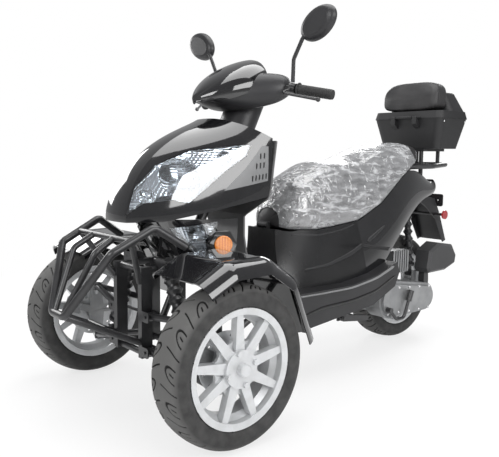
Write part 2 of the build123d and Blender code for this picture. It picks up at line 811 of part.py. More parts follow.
with BuildPart() as cowl:
    for station, half_top, half_mid, half_foot, top, foot in cowl_sections:
        add(
            cross_section(
                station, half_top, half_mid, half_foot, top, foot, 14.0, 10.0 if half_foot > 20 else 4.0
            )
        )
    loft()
    with BuildSketch(column.offset(neck_foot_level)):
        Ellipse(neck_front_radius + 12.0, neck_front_radius)
    extrude(amount=along_column(neck_top_z) - neck_foot_level)
    with BuildSketch(column.offset(neck_foot_level - 10.0)):
        Circle(column_radius + fit)
    extrude(amount=column_top - neck_foot_level + 20.0, mode=Mode.SUBTRACT)
    add(tube(bar_route, bar_radius + fit, 40.0), mode=Mode.SUBTRACT)
with BuildPart() as visor:
    for station, half_top, half_mid, half_foot, top, foot in visor_sections:
        add(
            cross_section(
                station, half_top, half_mid, half_foot, top, foot, 10.0 if half_top > 20 else 6.0, 0.0
            )
        )
    loft()
    add(cowl.part, mode=Mode.SUBTRACT)
write(cowl.part, "cowl")
write(visor.part, "visor")


# A level slice of the front bodywork: blunt nose, bulged flanks, straight back
def level_slice(z, nose, nose_half, flank_s, flank_half, back, back_half, inset=0.0):
    nose_s = front_axle_y + nose + inset
    nose_w = nose_half - inset * 0.6
    nose_corner_s = nose_s + 0.12 * nose_half
    back_s = front_axle_y + back + (40.0 if inset else 0.0)
    with BuildSketch(Plane.XY.offset(z)) as piece:
        with BuildLine():
            ThreePointArc((-nose_w, nose_corner_s), (0, nose_s), (nose_w, nose_corner_s))
            ThreePointArc(
                (nose_w, nose_corner_s),
                (flank_half - inset, front_axle_y + flank_s),
                (back_half - inset, back_s),
            )
            Line((back_half - inset, back_s), (inset - back_half, back_s))
            ThreePointArc(
                (inset - back_half, back_s),
                (inset - flank_half, front_axle_y + flank_s),
                (-nose_w, nose_corner_s),
            )
        make_face()
    return piece.sketch


# An outline drawn on the side view, pushed right through the trike's width
def side_prism(points, half_width, low_x=None):
    start = -half_width if low_x is None else low_x
    with BuildPart(mode=Mode.PRIVATE) as prism:
        with BuildSketch(side.offset(start)):
            with BuildLine():
                Polyline(*points, close=True)
            make_face()
        extrude(amount=half_width - start)
    return prism.part


# Front shield: height, nose, nose half-width, flank, flank half-width, back, back half-width
shield_slices = [
    (610.0, -128.0, 66.0, 70.0, 152.0, 348.0, 206.0),
    (700.0, -123.0, 62.0, 70.0, 152.0, 352.0, 208.0),
    (790.0, -70.0, 52.0, 100.0, 146.0, 362.0, 207.0),
    (865.0, 8.0, 46.0, 150.0, 140.0, 370.0, 204.0),
    (925.0, 112.0, 42.0, 220.0, 134.0, 376.0, 200.0),
    (990.0, 262.0, 60.0, 320.0, 150.0, 382.0, 192.0),
]
shield_belly = [
    (-180.0, 560.0), (-180.0, 632.0), (-20.0, 634.0), (345.0, 706.0), (440.0, 706.0), (440.0, 560.0)
]
headlight_outline = [
    (-126.0, 656.0),
    (-70.0, 694.0),
    (10.0, 704.0),
    (62.0, 694.0),
    (190.0, 796.0),
    (268.0, 846.0),
    (290.0, 886.0),
    (190.0, 876.0),
    (90.0, 862.0),
    (-20.0, 812.0),
    (-90.0, 742.0),
]
vent_outline = [(176.0, 730.0), (350.0, 762.0), (356.0, 880.0), (330.0, 882.0), (262.0, 806.0)]
vent_slots = [(286.0, 770.0), (300.0, 772.0), (314.0, 774.0), (328.0, 776.0), (342.0, 778.0)]
vent_slots += [(304.0, 812.0), (319.0, 814.0), (334.0, 816.0), (322.0, 846.0), (337.0, 848.0)]
slot_width = 6.0
slot_height = 20.0
neck_hole_radius = 26.0

with BuildPart() as shield_outer:
    for slice_sizes in shield_slices:
        add(level_slice(*slice_sizes))
    loft()
    split(bisect_by=shield_top, keep=Keep.BOTTOM)
    add(side_prism(shield_belly, 260.0), mode=Mode.SUBTRACT)
with BuildPart() as shield_inner:
    for slice_sizes in shield_slices:
        add(level_slice(*slice_sizes, inset=skin))
    loft()
    split(bisect_by=shield_top.offset(-skin), keep=Keep.BOTTOM)
with BuildPart() as shield_shell:
    add(shield_outer.part)
    add(shield_inner.part, mode=Mode.SUBTRACT)
    with BuildSketch(column.offset(300.0)):
        Circle(neck_hole_radius)
    extrude(amount=600.0, mode=Mode.SUBTRACT)


def shrunk_prism(outline, gap, low_x, high_x):
    with BuildPart(mode=Mode.PRIVATE) as prism:
        with BuildSketch(side.offset(low_x)):
            with BuildLine():
                Polyline(*outline, close=True)
            make_face()
            offset(amount=-gap, kind=Kind.INTERSECTION)
        extrude(amount=high_x - low_x)
    return prism.part


low_side = 30.0
high_side = 260.0
headlight_hole = side_prism(headlight_outline, high_side, low_side)
vent_hole = side_prism(vent_outline, high_side, low_side)
headlight_plug = shrunk_prism(headlight_outline, fit, low_side, high_side)
vent_plug = shrunk_prism(vent_outline, fit, low_side, high_side)

with BuildPart() as front_shield:
    add(shield_shell.part)
    for hole in (headlight_hole, vent_hole):
        add(hole, mode=Mode.SUBTRACT)
        add(mirrored(hole), mode=Mode.SUBTRACT)
with BuildPart() as headlight_lens:
    add(shield_shell.part)
    add(headlight_plug, mode=Mode.INTERSECT)
with BuildPart() as vent_panel:
    add(shield_shell.part)
    add(vent_plug, mode=Mode.INTERSECT)
    with BuildSketch(side.offset(low_side)):
        with Locations(*vent_slots):
            SlotOverall(slot_height, slot_width, rotation=84.0)
    extrude(amount=high_side - low_side, mode=Mode.SUBTRACT)
with BuildPart() as vent_panels:
    add(vent_panel.part)
    add(mirrored(vent_panel.part))
write(front_shield.part, "front_shield")
write(vent_panels.part, "vent_panels")

# Lower fairing under the shield: carries the lower lamps and the amber reflectors
fairing_slices = [
    (490.6, 60.0, 92.0, 130.0, 152.0, 216.0, 186.0),
    (560.0, 22.0, 104.0, 110.0, 168.0, 216.0, 202.0),
    (640.0, -14.0, 110.0, 90.0, 172.0, 216.0, 206.0),
]
lamp_outline = [
    (8.0, 610.0),
    (80.0, 622.0),
    (148.0, 634.0),
    (140.0, 600.0),
    (112.0, 576.0),
    (130.0, 500.0),
    (114.0, 496.0),
]
amber_s = 160.0
amber_z = 556.0
amber_radius = 30.0
reflector_thickness = 9.0
reflector_pad = 5.0
with BuildPart() as fairing_shell:
    for slice_sizes in fairing_slices:
        add(level_slice(*slice_sizes))
    loft()
with BuildPart() as fairing_inner:
    for slice_sizes in fairing_slices:
        add(level_slice(*slice_sizes, inset=skin))
    loft()
with BuildPart() as fairing_walls:
    add(fairing_shell.part)
    add(fairing_inner.part, mode=Mode.SUBTRACT)
lamp_hole = side_prism(lamp_outline, high_side, low_side)
lamp_plug = shrunk_prism(lamp_outline, fit, low_side, high_side)
amber_turn = 24.0
amber_plane = Plane(
    origin=spot(199.0, amber_s, amber_z),
    x_dir=(sin(radians(amber_turn)), cos(radians(amber_turn)), 0),
    z_dir=(cos(radians(amber_turn)), -sin(radians(amber_turn)), 0),
)
with BuildPart() as lower_fairing:
    add(fairing_walls.part)
    add(lamp_hole, mode=Mode.SUBTRACT)
    add(mirrored(lamp_hole), mode=Mode.SUBTRACT)
    with BuildSketch(amber_plane.offset(-10.0)):
        RegularPolygon(48.0, 6)
    extrude(amount=10.0 + reflector_pad)
    mirror(about=Plane.YZ)
with BuildPart() as lower_lamp:
    add(fairing_walls.part)
    add(lamp_plug, mode=Mode.INTERSECT)
with BuildPart() as lamp_lenses:
    add(headlight_lens.part)
    add(mirrored(headlight_lens.part))
    add(lower_lamp.part)
    add(mirrored(lower_lamp.part))
with BuildPart() as amber_one:
    with BuildSketch(amber_plane.offset(reflector_pad + fit)):
        Circle(amber_radius)
    extrude(amount=reflector_thickness)
    fillet(amber_one.faces().sort_by(Axis(amber_plane.origin, amber_plane.z_dir))[-1].edges(), 3.0)
with BuildPart() as amber_reflectors:
    add(amber_one.part)
    add(mirrored(amber_one.part))
write(lower_fairing.part, "lower_fairing")
write(lamp_lenses.part, "lamp_lenses")
write(amber_reflectors.part, "amber_reflectors")

# Headlight bowls: shallow reflectors with a bulb, held behind the lenses by a bracket bar
bowl_radius = 46.0
bowl_depth = 44.0
bowl_centre = (98.0, 96.0, 770.0)
bowl_yaw = 20.0
bowl_axis = Vector(sin(radians(bowl_yaw)), -cos(radians(bowl_yaw)), 0)
bowl_plane = Plane(
    origin=spot(*bowl_centre), x_dir=(cos(radians(bowl_yaw)), sin(radians(bowl_yaw)), 0), z_dir=(0, 0, 1)
)
with BuildPart() as bowl:
    with BuildSketch(bowl_plane):
        with BuildLine():
            ThreePointArc((0, bowl_depth), (bowl_radius * 0.6, bowl_depth * 0.78), (bowl_radius, 0))
            Line((bowl_radius, 0), (bowl_radius - 3.0, 0))
            ThreePointArc(
                (bowl_radius - 3.0, 0), (bowl_radius * 0.57, bowl_depth * 0.70), (9.0, bowl_depth - 5.0)
            )
            Line((9.0, bowl_depth - 5.0), (9.0, 10.0))
            Line((9.0, 10.0), (0, 4.0))
            Line((0, 4.0), (0, bowl_depth))
        make_face()
    revolve(axis=Axis(bowl_plane.origin, bowl_axis))
    with BuildSketch(Plane(origin=bowl_plane.origin - bowl_axis * (bowl_depth - 6.0), z_dir=-bowl_axis)):
        Circle(16.0)
    extrude(amount=20.0)
bowl_bar_s = bowl_centre[1] + (bowl_depth + 8.0) * cos(radians(bowl_yaw))
bowl_bar_x = bowl_centre[0] - (bowl_depth + 8.0) * sin(radians(bowl_yaw))
bowl_bar = tube([(-bowl_bar_x, bowl_bar_s, bowl_centre[2]), (bowl_bar_x, bowl_bar_s, bowl_centre[2])], 8.0)
bowl_stay = tube(
    [
        (0, bowl_bar_s, bowl_centre[2]),
        (0, column_station - (column_height - 760.0) * tan(radians(rake)) - head_tube_radius, 760.0),
    ],
    9.0,
)
with BuildPart() as headlight_bowls:
    add(bowl.part)
    add(mirrored(bowl.part))
    add(bowl_bar)
    add(bowl_stay)
    with BuildSketch(column.offset(head_tube_foot)):
        Circle(head_tube_radius + fit)
    extrude(amount=head_tube_top - head_tube_foot, mode=Mode.SUBTRACT)
write(headlight_bowls.part, "headlight_bowls")

# Leg shield: a broad panel behind the steering that narrows to a stem and meets the floor
leg_panel_line = [
    (389.4, 900.0),
    (369.4, 800.0),
    (353.4, 706.0),
    (319.4, 640.0),
    (346.0, 500.0),
    (390.0, 410.0),
    (452.0, 349.5),
]
leg_panel_thickness = 7.0
leg_outline = [
    (-202.0, 912.0),
    (202.0, 912.0),
    (212.0, 740.0),
    (206.0, 700.0),
    (112.0, 632.0),
    (96.0, 560.0),
    (96.0, 470.0),
    (150.0, 400.0),
    (226.0, 346.0),
    (-226.0, 346.0),
    (-150.0, 400.0),
    (-96.0, 470.0),
    (-96.0, 560.0),
    (-112.0, 632.0),
    (-206.0, 700.0),
    (-212.0, 740.0),
]
with BuildPart() as leg_shield:
    with BuildSketch(side.offset(-240.0)):
        with BuildLine():
            front_line = Polyline(*leg_panel_line)
            back_line = Polyline(*[(s + leg_panel_thickness, z) for s, z in leg_panel_line])
            Line(front_line @ 0, back_line @ 0)
            Line(front_line @ 1, back_line @ 1)
        make_face()
    extrude(amount=480.0)
    with BuildSketch(Plane(origin=spot(0, 300.0, 0), x_dir=(1, 0, 0), z_dir=(0, -1, 0))):
        with BuildLine():
            Polyline(*leg_outline, close=True)
        make_face()
    extrude(amount=-200.0, mode=Mode.INTERSECT)
    split(bisect_by=shield_top, keep=Keep.BOTTOM)
write(leg_shield.part, "leg_shield")

# Front fenders: a curved band swept over each wheel, fixed to the frame's stay
fender_path = [(-134.0, 500.0), (-36.0, 550.0), (112.0, 554.0), (226.0, 478.0), (306.0, 286.0)]
fender_bend = 62.0
fender_wall = 4.0
fender_drop = 46.0
with BuildPart() as fender_one:
    with BuildLine() as fender_line:
        FilletPolyline(*[spot(fender_inner_x, s, z) for s, z in fender_path], radius=fender_bend)
    fender_start = fender_line.line @ 0
    fender_way = fender_line.line % 0
    with BuildSketch(Plane(origin=fender_start, x_dir=(1, 0, 0), z_dir=fender_way)):
        with BuildLine():
            span = fender_outer_x - fender_inner_x
            Line((0, 26.0), (0, 14.0))
            ThreePointArc((0, 14.0), (10.0, 4.0), (24.0, 0))
            Line((24.0, 0), (span - 70.0, 0))
            ThreePointArc((span - 70.0, 0), (span - 18.0, 12.0), (span, fender_drop))
            Line((span, fender_drop), (span - fender_wall, fender_drop))
            ThreePointArc((span - fender_wall, fender_drop), (span - 22.0, 15.0), (span - 71.0, fender_wall))
            Line((span - 71.0, fender_wall), (25.0, fender_wall))
            ThreePointArc((25.0, fender_wall), (13.0, 8.0), (fender_wall, 15.0))
            Line((fender_wall, 15.0), (fender_wall, 26.0))
            Line((fender_wall, 26.0), (0, 26.0))
        make_face()
    sweep(path=fender_line.line)
with BuildPart() as front_fenders:
    add(fender_one.part)
    add(mirrored(fender_one.part))
write(front_fenders.part, "front_fenders")

# Front guard: two swept hoops that close to a V at the foot, with inner loops and stays
guard_radius = 13.0
guard_foot_s = guard_radius - front_reach
hoop = [
    (206.0, 8.0, 560.0),
    (180.0, -92.0, 626.0),
    (168.0, -232.0, 556.0),
    (44.0, guard_foot_s, 356.0),
    (-44.0, guard_foot_s, 356.0),
]
hoop += [(-168.0, -232.0, 556.0), (-180.0, -92.0, 626.0), (-206.0, 8.0, 560.0)]
guard_pieces = [tube(hoop, guard_radius, 26.0)]
for hand in (-1, 1):
    guard_pieces.append(
        tube(
            [
                (hand * 66.0, -168.0, 588.0),
                (hand * 74.0, -236.0, 548.0),
                (hand * 30.0, guard_foot_s + 2.0, 358.0),
            ],
            10.0,
            30.0,
        )
    )
    guard_pieces.append(
        tube(
            [(hand * 30.0, guard_foot_s, 356.0), (hand * tower_x, -arm_pivot_s - tower_depth / 2, 240.0)],
            11.0,
        )
    )
    guard_pieces.append(
        tube([(hand * 172.0, -168.0, 588.0), (hand * tower_x, -arm_pivot_s - tower_depth / 2, 440.0)], 10.0)
    )
guard_pieces.append(tube([(-172.0, -168.0, 588.0), (172.0, -168.0, 588.0)], 10.0))
guard_pieces.append(tube([(-56.0, -196.0, 300.0), (56.0, -196.0, 300.0)], 9.0))
with BuildPart() as front_guard:
    add(guard_pieces)
    with BuildSketch(
        Plane(origin=spot(0, -arm_pivot_s - tower_depth / 2, 0), x_dir=(1, 0, 0), z_dir=(0, -1, 0))
    ):
        Rectangle(2 * tower_x + 4 * tower_width, 2 * beam_z)
    extrude(amount=-60.0, mode=Mode.SUBTRACT)
write(front_guard.part, "front_guard")

# Footboard: a shallow tray over the lower rails, open underneath
floor_top = [(414.0, 350.0), (600.0, 346.0), (780.0, 346.0), (930.0, 368.0), (1062.0, 410.0)]
floor_side = [
    (1080.0, 366.0), (1052.0, 308.0), (912.0, 248.0), (716.0, 230.0), (480.0, 206.0), (414.0, 232.0)
]
floor_outline = floor_top + floor_side
floor_slot_s = 960.0
floor_slot_half = 116.0
with BuildPart() as footboard:
    with BuildSketch(side.offset(-footboard_half_width)):
        with BuildLine():
            Polyline(*floor_outline, close=True)
        make_face()
    extrude(amount=2 * footboard_half_width)
    chamfer(footboard.edges().filter_by(Axis.X).sort_by(Axis.Z)[:2], 12.0)
    with BuildSketch(side.offset(-footboard_half_width + skin)):
        with BuildLine():
            Polyline(*floor_outline, close=True)
        make_face()
        offset(amount=-skin, kind=Kind.INTERSECTION)
    extrude(amount=2 * (footboard_half_width - skin), mode=Mode.SUBTRACT)
    with BuildSketch(side.offset(-footboard_half_width + 50.0)):
        with BuildLine():
            Polyline(
                (380.0, 180.0),
                (380.0, 330.0),
                (1010.0, 330.0),
                (1100.0, 380.0),
                (1100.0, 180.0),
                close=True,
            )
        make_face()
    extrude(amount=2 * (footboard_half_width - 50.0), mode=Mode.SUBTRACT)
    with BuildSketch(Plane(origin=spot(0, floor_slot_s, 100.0))):
        with Locations((0, 150.0)):
            Rectangle(2 * floor_slot_half, 300.0)
    extrude(amount=500.0, mode=Mode.SUBTRACT)
write(footboard.part, "footboard")

# Rear bodywork: one lofted form, hollow, split into the seat base and the tail panels
body_sections = [
    (505.0, 80.0, 92.0, 140.0, 574.0, 330.0),
    (640.0, 136.0, 150.0, 162.0, 574.0, 330.0),
    (860.0, 150.0, 168.0, 178.0, 600.0, 330.0),
    (1040.0, 154.0, 182.0, 180.0, 664.0, 395.0),
    (1190.0, 154.0, 180.0, 165.0, 770.0, 500.0),
    (1310.0, 142.0, 162.0, 140.0, 784.0, 580.0),
    (1490.0, 106.0, 124.0, 104.0, 744.0, 672.0),
]
seat_line = [
    (500.0, 570.0),
    (680.0, 561.0),
    (903.0, 586.0),
    (1040.0, 650.0),
    (1178.0, 756.0),
    (1352.0, 866.0),
    (1420.0, 900.0),
]
split_foot = (930.0, 380.0)
split_top = (886.0, 600.0)


def body_form(inset):
    with BuildPart(mode=Mode.PRIVATE) as form:
        for station, half_top, half_mid, half_foot, top, foot in body_sections:
            lower = foot - 60.0 if inset else foot
            add(
                cross_section(
                    station + (inset if station == body_sections[0][0] else 0),
                    half_top - inset,
                    half_mid - inset,
                    half_foot - inset,
                    top - inset,
                    lower,
                )
            )
        loft()
    return form.part


over_seat_line = side_prism(seat_line + [(1420.0, 1200.0), (500.0, 1200.0)], 300.0)
under_floor = side_prism(
    floor_top + [(1080.0, 366.0), (1090.0, 300.0), (1090.0, 100.0), (380.0, 100.0), (380.0, 350.0)], 300.0
)
front_of_split = side_prism([(300.0, 200.0), split_foot, split_top, (886.0, 1200.0), (300.0, 1200.0)], 300.0)
with BuildPart() as body_hollow:
    add(body_form(skin))
    add(over_seat_line.moved(Location((0, 0, -skin))), mode=Mode.SUBTRACT)
with BuildPart() as body_shell:
    add(body_form(0.0))
    add(over_seat_line, mode=Mode.SUBTRACT)
    add(under_floor, mode=Mode.SUBTRACT)
    add(body_hollow.part, mode=Mode.SUBTRACT)

seat_hinge_s = 516.0
seat_hinge_z = 584.0
hinge_pin_radius = 4.0
hinge_barrel_radius = 9.0
hinge_half = 24.0
hinge_lug = 6.0
pocket_half = hinge_half + hinge_lug + 6.0
bucket_front = 640.0
bucket_back = 866.0
bucket_half = 112.0
bucket_depth = 176.0
bucket_top = 555.0
bucket_wall = 3.0
bucket_centre_s = (bucket_front + bucket_back) / 2
with BuildPart() as seat_base:
    add(body_shell.part)
    add(front_of_split, mode=Mode.INTERSECT)
    with BuildSketch(Plane(origin=spot(0, bucket_centre_s, bucket_top - bucket_depth))):
        RectangleRounded(2 * (bucket_half + bucket_wall), bucket_back - bucket_front + 2 * bucket_wall, 24.0)
    extrude(amount=bucket_depth + 60.0)
    add(over_seat_line, mode=Mode.SUBTRACT)
    with BuildSketch(Plane(origin=spot(0, bucket_centre_s, bucket_top - bucket_depth + bucket_wall))):
        RectangleRounded(2 * bucket_half, bucket_back - bucket_front, 21.0)
    extrude(amount=bucket_depth + 60.0, mode=Mode.SUBTRACT)
    for start in (-hinge_half - fit - hinge_lug, hinge_half + fit):
        with BuildSketch(side.offset(start)):
            with Locations((seat_hinge_s, seat_hinge_z)):
                Circle(hinge_barrel_radius)
            with Locations((seat_hinge_s, seat_hinge_z - 10.0)):
                Rectangle(2 * hinge_barrel_radius, 20.0)
        extrude(amount=hinge_lug)
    with BuildSketch(side.offset(-hinge_half - hinge_lug)):
        with Locations((seat_hinge_s, seat_hinge_z)):
            Circle(hinge_pin_radius)
    extrude(amount=2 * (hinge_half + hinge_lug))
with BuildPart() as rear_panels:
    add(body_shell.part)
    add(front_of_split.moved(Location((0, fit, 0))), mode=Mode.SUBTRACT)
    with BuildSketch(Plane(origin=spot(0, 0, 690.0))):
        with Locations((0, 1350.0)):
            RectangleRounded(216.0, 240.0, 30.0)
    extrude(amount=200.0, mode=Mode.SUBTRACT)
write(seat_base.part, "seat_base")
write(rear_panels.part, "rear_panels")

# Seat: a two-level saddle over the seat line, hinged at its nose
seat_sections = [
    (528.0, 60.0, 70.0, 56.0, 640.0, 540.0, 26.0),
    (610.0, 92.0, 124.0, 104.0, 760.0, 540.0, 30.0),
    (760.0, 108.0, 148.0, 130.0, 826.0, 540.0, 26.0),
    (930.0, 112.0, 154.0, 134.0, 834.0, 540.0, 22.0),
    (1090.0, 112.0, 156.0, 138.0, 890.0, 600.0, 20.0),
    (1290.0, 104.0, 150.0, 130.0, 913.0, 740.0, 20.0),
    (1392.0, 78.0, 116.0, 110.0, 904.0, 760.0, 18.0),
]
with BuildPart() as seat:
    for station, half_top, half_mid, half_foot, top, foot, crown in seat_sections:
        add(cross_section(station, half_top, half_mid, half_foot, top, foot, crown))
    loft()
    add(
        side_prism([(s, z + fit) for s, z in seat_line] + [(1420.0, 400.0), (500.0, 400.0)], 300.0),
        mode=Mode.SUBTRACT,
    )
    with BuildSketch(side.offset(-pocket_half)):
        with Locations((seat_hinge_s + 10.0, seat_hinge_z - 15.0 + hinge_barrel_radius + fit)):
            Rectangle(64.0, 30.0)
    extrude(amount=2 * pocket_half, mode=Mode.SUBTRACT)
write(seat.part, "seat")

# Trunk: a tapered open box on the tail, its domed lid and the pad on the lid's front
trunk_middle_s = (trunk_front_s + trunk_back_s) / 2
trunk_length = trunk_back_s - trunk_front_s
trunk_foot_half = 160.0
trunk_foot_length = 176.0
trunk_corner = 34.0
lid_lap = 4.0
lid_lip = 10.0
lid_hinge_s = trunk_front_s - 12.0
lid_hinge_z = trunk_rim_z + 5.0


def trunk_form(inset, floor_rise, over):
    with BuildPart(mode=Mode.PRIVATE) as form:
        with BuildSketch(Plane(origin=spot(0, trunk_middle_s, trunk_floor_z + floor_rise))):
            RectangleRounded(
                2 * (trunk_foot_half - inset), trunk_foot_length - 2 * inset, trunk_corner - inset
            )
        with BuildSketch(Plane(origin=spot(0, trunk_middle_s, trunk_rim_z + over))):
            RectangleRounded(2 * (trunk_half_width - inset), trunk_length - 2 * inset, trunk_corner - inset)
        loft()
    return form.part


with BuildPart() as trunk_box:
    add(trunk_form(0.0, 0.0, 0.0))
    add(trunk_form(trunk_wall, trunk_wall, 0.0), mode=Mode.SUBTRACT)
    for hand in (-1, 1):
        with BuildSketch(Plane(origin=spot(hand * 60.0 - 12.0, 0, 0), x_dir=(0, 1, 0), z_dir=(1, 0, 0))):
            with BuildLine():
                Polyline(
                    (lid_hinge_s - 6.0, lid_hinge_z),
                    (lid_hinge_s - 6.0, 1000.0),
                    (trunk_front_s + 8.0, 980.0),
                    (trunk_front_s + 3.0, trunk_rim_z - 8.0),
                    (lid_hinge_s + 6.0, trunk_rim_z - 2.0),
                    close=True,
                )
            make_face()
            with Locations((lid_hinge_s, lid_hinge_z)):
                Circle(6.0)
        extrude(amount=24.0)
    add(trunk_form(trunk_wall, trunk_wall, 0.0), mode=Mode.SUBTRACT)
    with BuildSketch(Plane(origin=spot(-90.0, lid_hinge_s, lid_hinge_z), z_dir=(1, 0, 0))):
        Circle(hinge_pin_radius)
    extrude(amount=180.0)
write(trunk_box.part, "trunk_box")

dome_shoulder_z = trunk_rim_z + 34.0
dome_top_z = 1150.0
pad_back_s = 1506.0


def dome_form(inset, top_inset):
    with BuildPart(mode=Mode.PRIVATE) as form:
        with BuildSketch(Plane(origin=spot(0, trunk_middle_s, trunk_rim_z + fit))):
            RectangleRounded(
                2 * (trunk_half_width + lid_lap - inset),
                trunk_length + 2 * (lid_lap - inset),
                trunk_corner + lid_lap - inset,
            )
        with BuildSketch(Plane(origin=spot(0, trunk_middle_s, dome_shoulder_z))):
            RectangleRounded(
                2 * (trunk_half_width - 4.0 - inset), trunk_length - 12.0 - 2 * inset, trunk_corner - inset
            )
        loft(ruled=True)
        with BuildSketch(Plane(origin=spot(0, (pad_back_s + trunk_back_s - 6.0) / 2, dome_shoulder_z))):
            RectangleRounded(
                2 * (trunk_half_width - 12.0 - inset),
                trunk_back_s - 6.0 - pad_back_s - 2 * inset,
                30.0 - inset,
            )
        with BuildSketch(
            Plane(origin=spot(0, (pad_back_s + trunk_back_s - 14.0) / 2, dome_top_z - top_inset))
        ):
            RectangleRounded(
                2 * (trunk_half_width - 62.0 - inset),
                trunk_back_s - 14.0 - pad_back_s - 2 * inset - 16.0,
                30.0 - inset,
            )
        loft(ruled=True)
    return form.part


with BuildPart() as trunk_lid:
    add(dome_form(0.0, 0.0))
    fillet(trunk_lid.faces().sort_by(Axis.Z)[-1].edges(), 16.0)
    add(dome_form(trunk_wall, trunk_wall), mode=Mode.SUBTRACT)
    with BuildSketch(Plane(origin=spot(0, trunk_middle_s, trunk_rim_z + fit))):
        RectangleRounded(
            2 * (trunk_half_width - trunk_wall), trunk_length - 2 * trunk_wall, trunk_corner - trunk_wall
        )
    extrude(amount=3.0, mode=Mode.SUBTRACT)
    with BuildSketch(Plane(origin=spot(-44.0, lid_hinge_s, lid_hinge_z), x_dir=(0, 1, 0), z_dir=(1, 0, 0))):
        Circle(7.0)
        with Locations((6.0, 4.0)):
            Rectangle(14.0, 8.0)
    extrude(amount=88.0)
    with BuildSketch(Plane(origin=spot(-50.0, lid_hinge_s, lid_hinge_z), z_dir=(1, 0, 0))):
        Circle(hinge_pin_radius + pin_fit)
    extrude(amount=100.0, mode=Mode.SUBTRACT)
write(trunk_lid.part, "trunk_lid")

with BuildPart() as backrest_pad:
    with BuildSketch(Plane(origin=spot(0, pad_back_s - fit, 0), x_dir=(1, 0, 0), z_dir=(0, -1, 0))):
        with BuildLine():
            Line((-148.0, dome_shoulder_z + fit), (148.0, dome_shoulder_z + fit))
            ThreePointArc((148.0, dome_shoulder_z + fit), (152.0, 1112.0), (128.0, 1168.0))
            ThreePointArc((128.0, 1168.0), (0, 1198.0), (-128.0, 1168.0))
            ThreePointArc((-128.0, 1168.0), (-152.0, 1112.0), (-148.0, dome_shoulder_z + fit))
        make_face()
    extrude(amount=96.0, taper=9.0)
    fillet(backrest_pad.faces().sort_by(Axis.Y)[0].edges(), 14.0)
    with BuildSketch(Plane(origin=spot(0, trunk_middle_s, dome_shoulder_z + fit))):
        Rectangle(500.0, 500.0)
    extrude(amount=-80.0, mode=Mode.SUBTRACT)
write(backrest_pad.part, "backrest_pad")

# Seat hinge pin on the body, barrel plate under the seat's nose
with BuildPart() as seat_hinge:
    with BuildSketch(side.offset(-hinge_half + fit)):
        with Locations((seat_hinge_s, seat_hinge_z)):
            Circle(hinge_barrel_radius)
        with Locations((seat_hinge_s + 20.0, seat_hinge_z + hinge_barrel_radius - 2.0)):
            Rectangle(40.0, 4.0)
    extrude(amount=2 * (hinge_half - fit))
    with BuildSketch(side.offset(-hinge_half)):
        with Locations((seat_hinge_s, seat_hinge_z)):
            Circle(hinge_pin_radius + pin_fit)
    extrude(amount=2 * hinge_half, mode=Mode.SUBTRACT)
write(seat_hinge.part, "seat_hinge")

# Grab rail and trunk carrier
grab_radius = 11.0
grab_route = [(94.0, 1290.0, 688.0), (94.0, 1290.0, 802.0), (146.0, 1425.0, 806.0), (112.0, 1592.0, 814.0)]
grab_route += [(-x, s, z) for x, s, z in reversed(grab_route)]
carrier_thickness = 12.0
carrier_post_x = 60.0
post_foot = tail_cross_z + cross_radius + fit
with BuildPart() as grab_rail:
    add(tube(grab_route, grab_radius, 34.0))
    add(tube([(-138.0, tail_cross_s, 808.0), (138.0, tail_cross_s, 808.0)], 9.0))
    for hand in (-1, 1):
        add(
            tube(
                [
                    (hand * carrier_post_x, tail_cross_s, post_foot),
                    (hand * carrier_post_x, tail_cross_s, trunk_floor_z - 8.0),
                ],
                10.0,
            )
        )
        add(
            tube(
                [
                    (hand * carrier_post_x, 1592.0, 814.0),
                    (hand * carrier_post_x, 1592.0, trunk_floor_z - 8.0),
                ],
                9.0,
            )
        )
    with BuildSketch(Plane(origin=spot(0, 1524.0, trunk_floor_z - fit - carrier_thickness))):
        RectangleRounded(190.0, 164.0, 20.0)
        with Locations((0, 0)):
            RectangleRounded(86.0, 90.0, 14.0, mode=Mode.SUBTRACT)
    extrude(amount=carrier_thickness)
write(grab_rail.part, "grab_rail")

# Tail lamp on the body's rear end
body_back_s = body_sections[-1][0]
with BuildPart() as tail_lamp:
    add(cross_section(body_back_s + fit, 98.0, 114.0, 96.0, 738.0, 678.0))
    add(cross_section(body_back_s + 40.0, 70.0, 84.0, 68.0, 728.0, 694.0))
    loft()
write(tail_lamp.part, "tail_lamp")

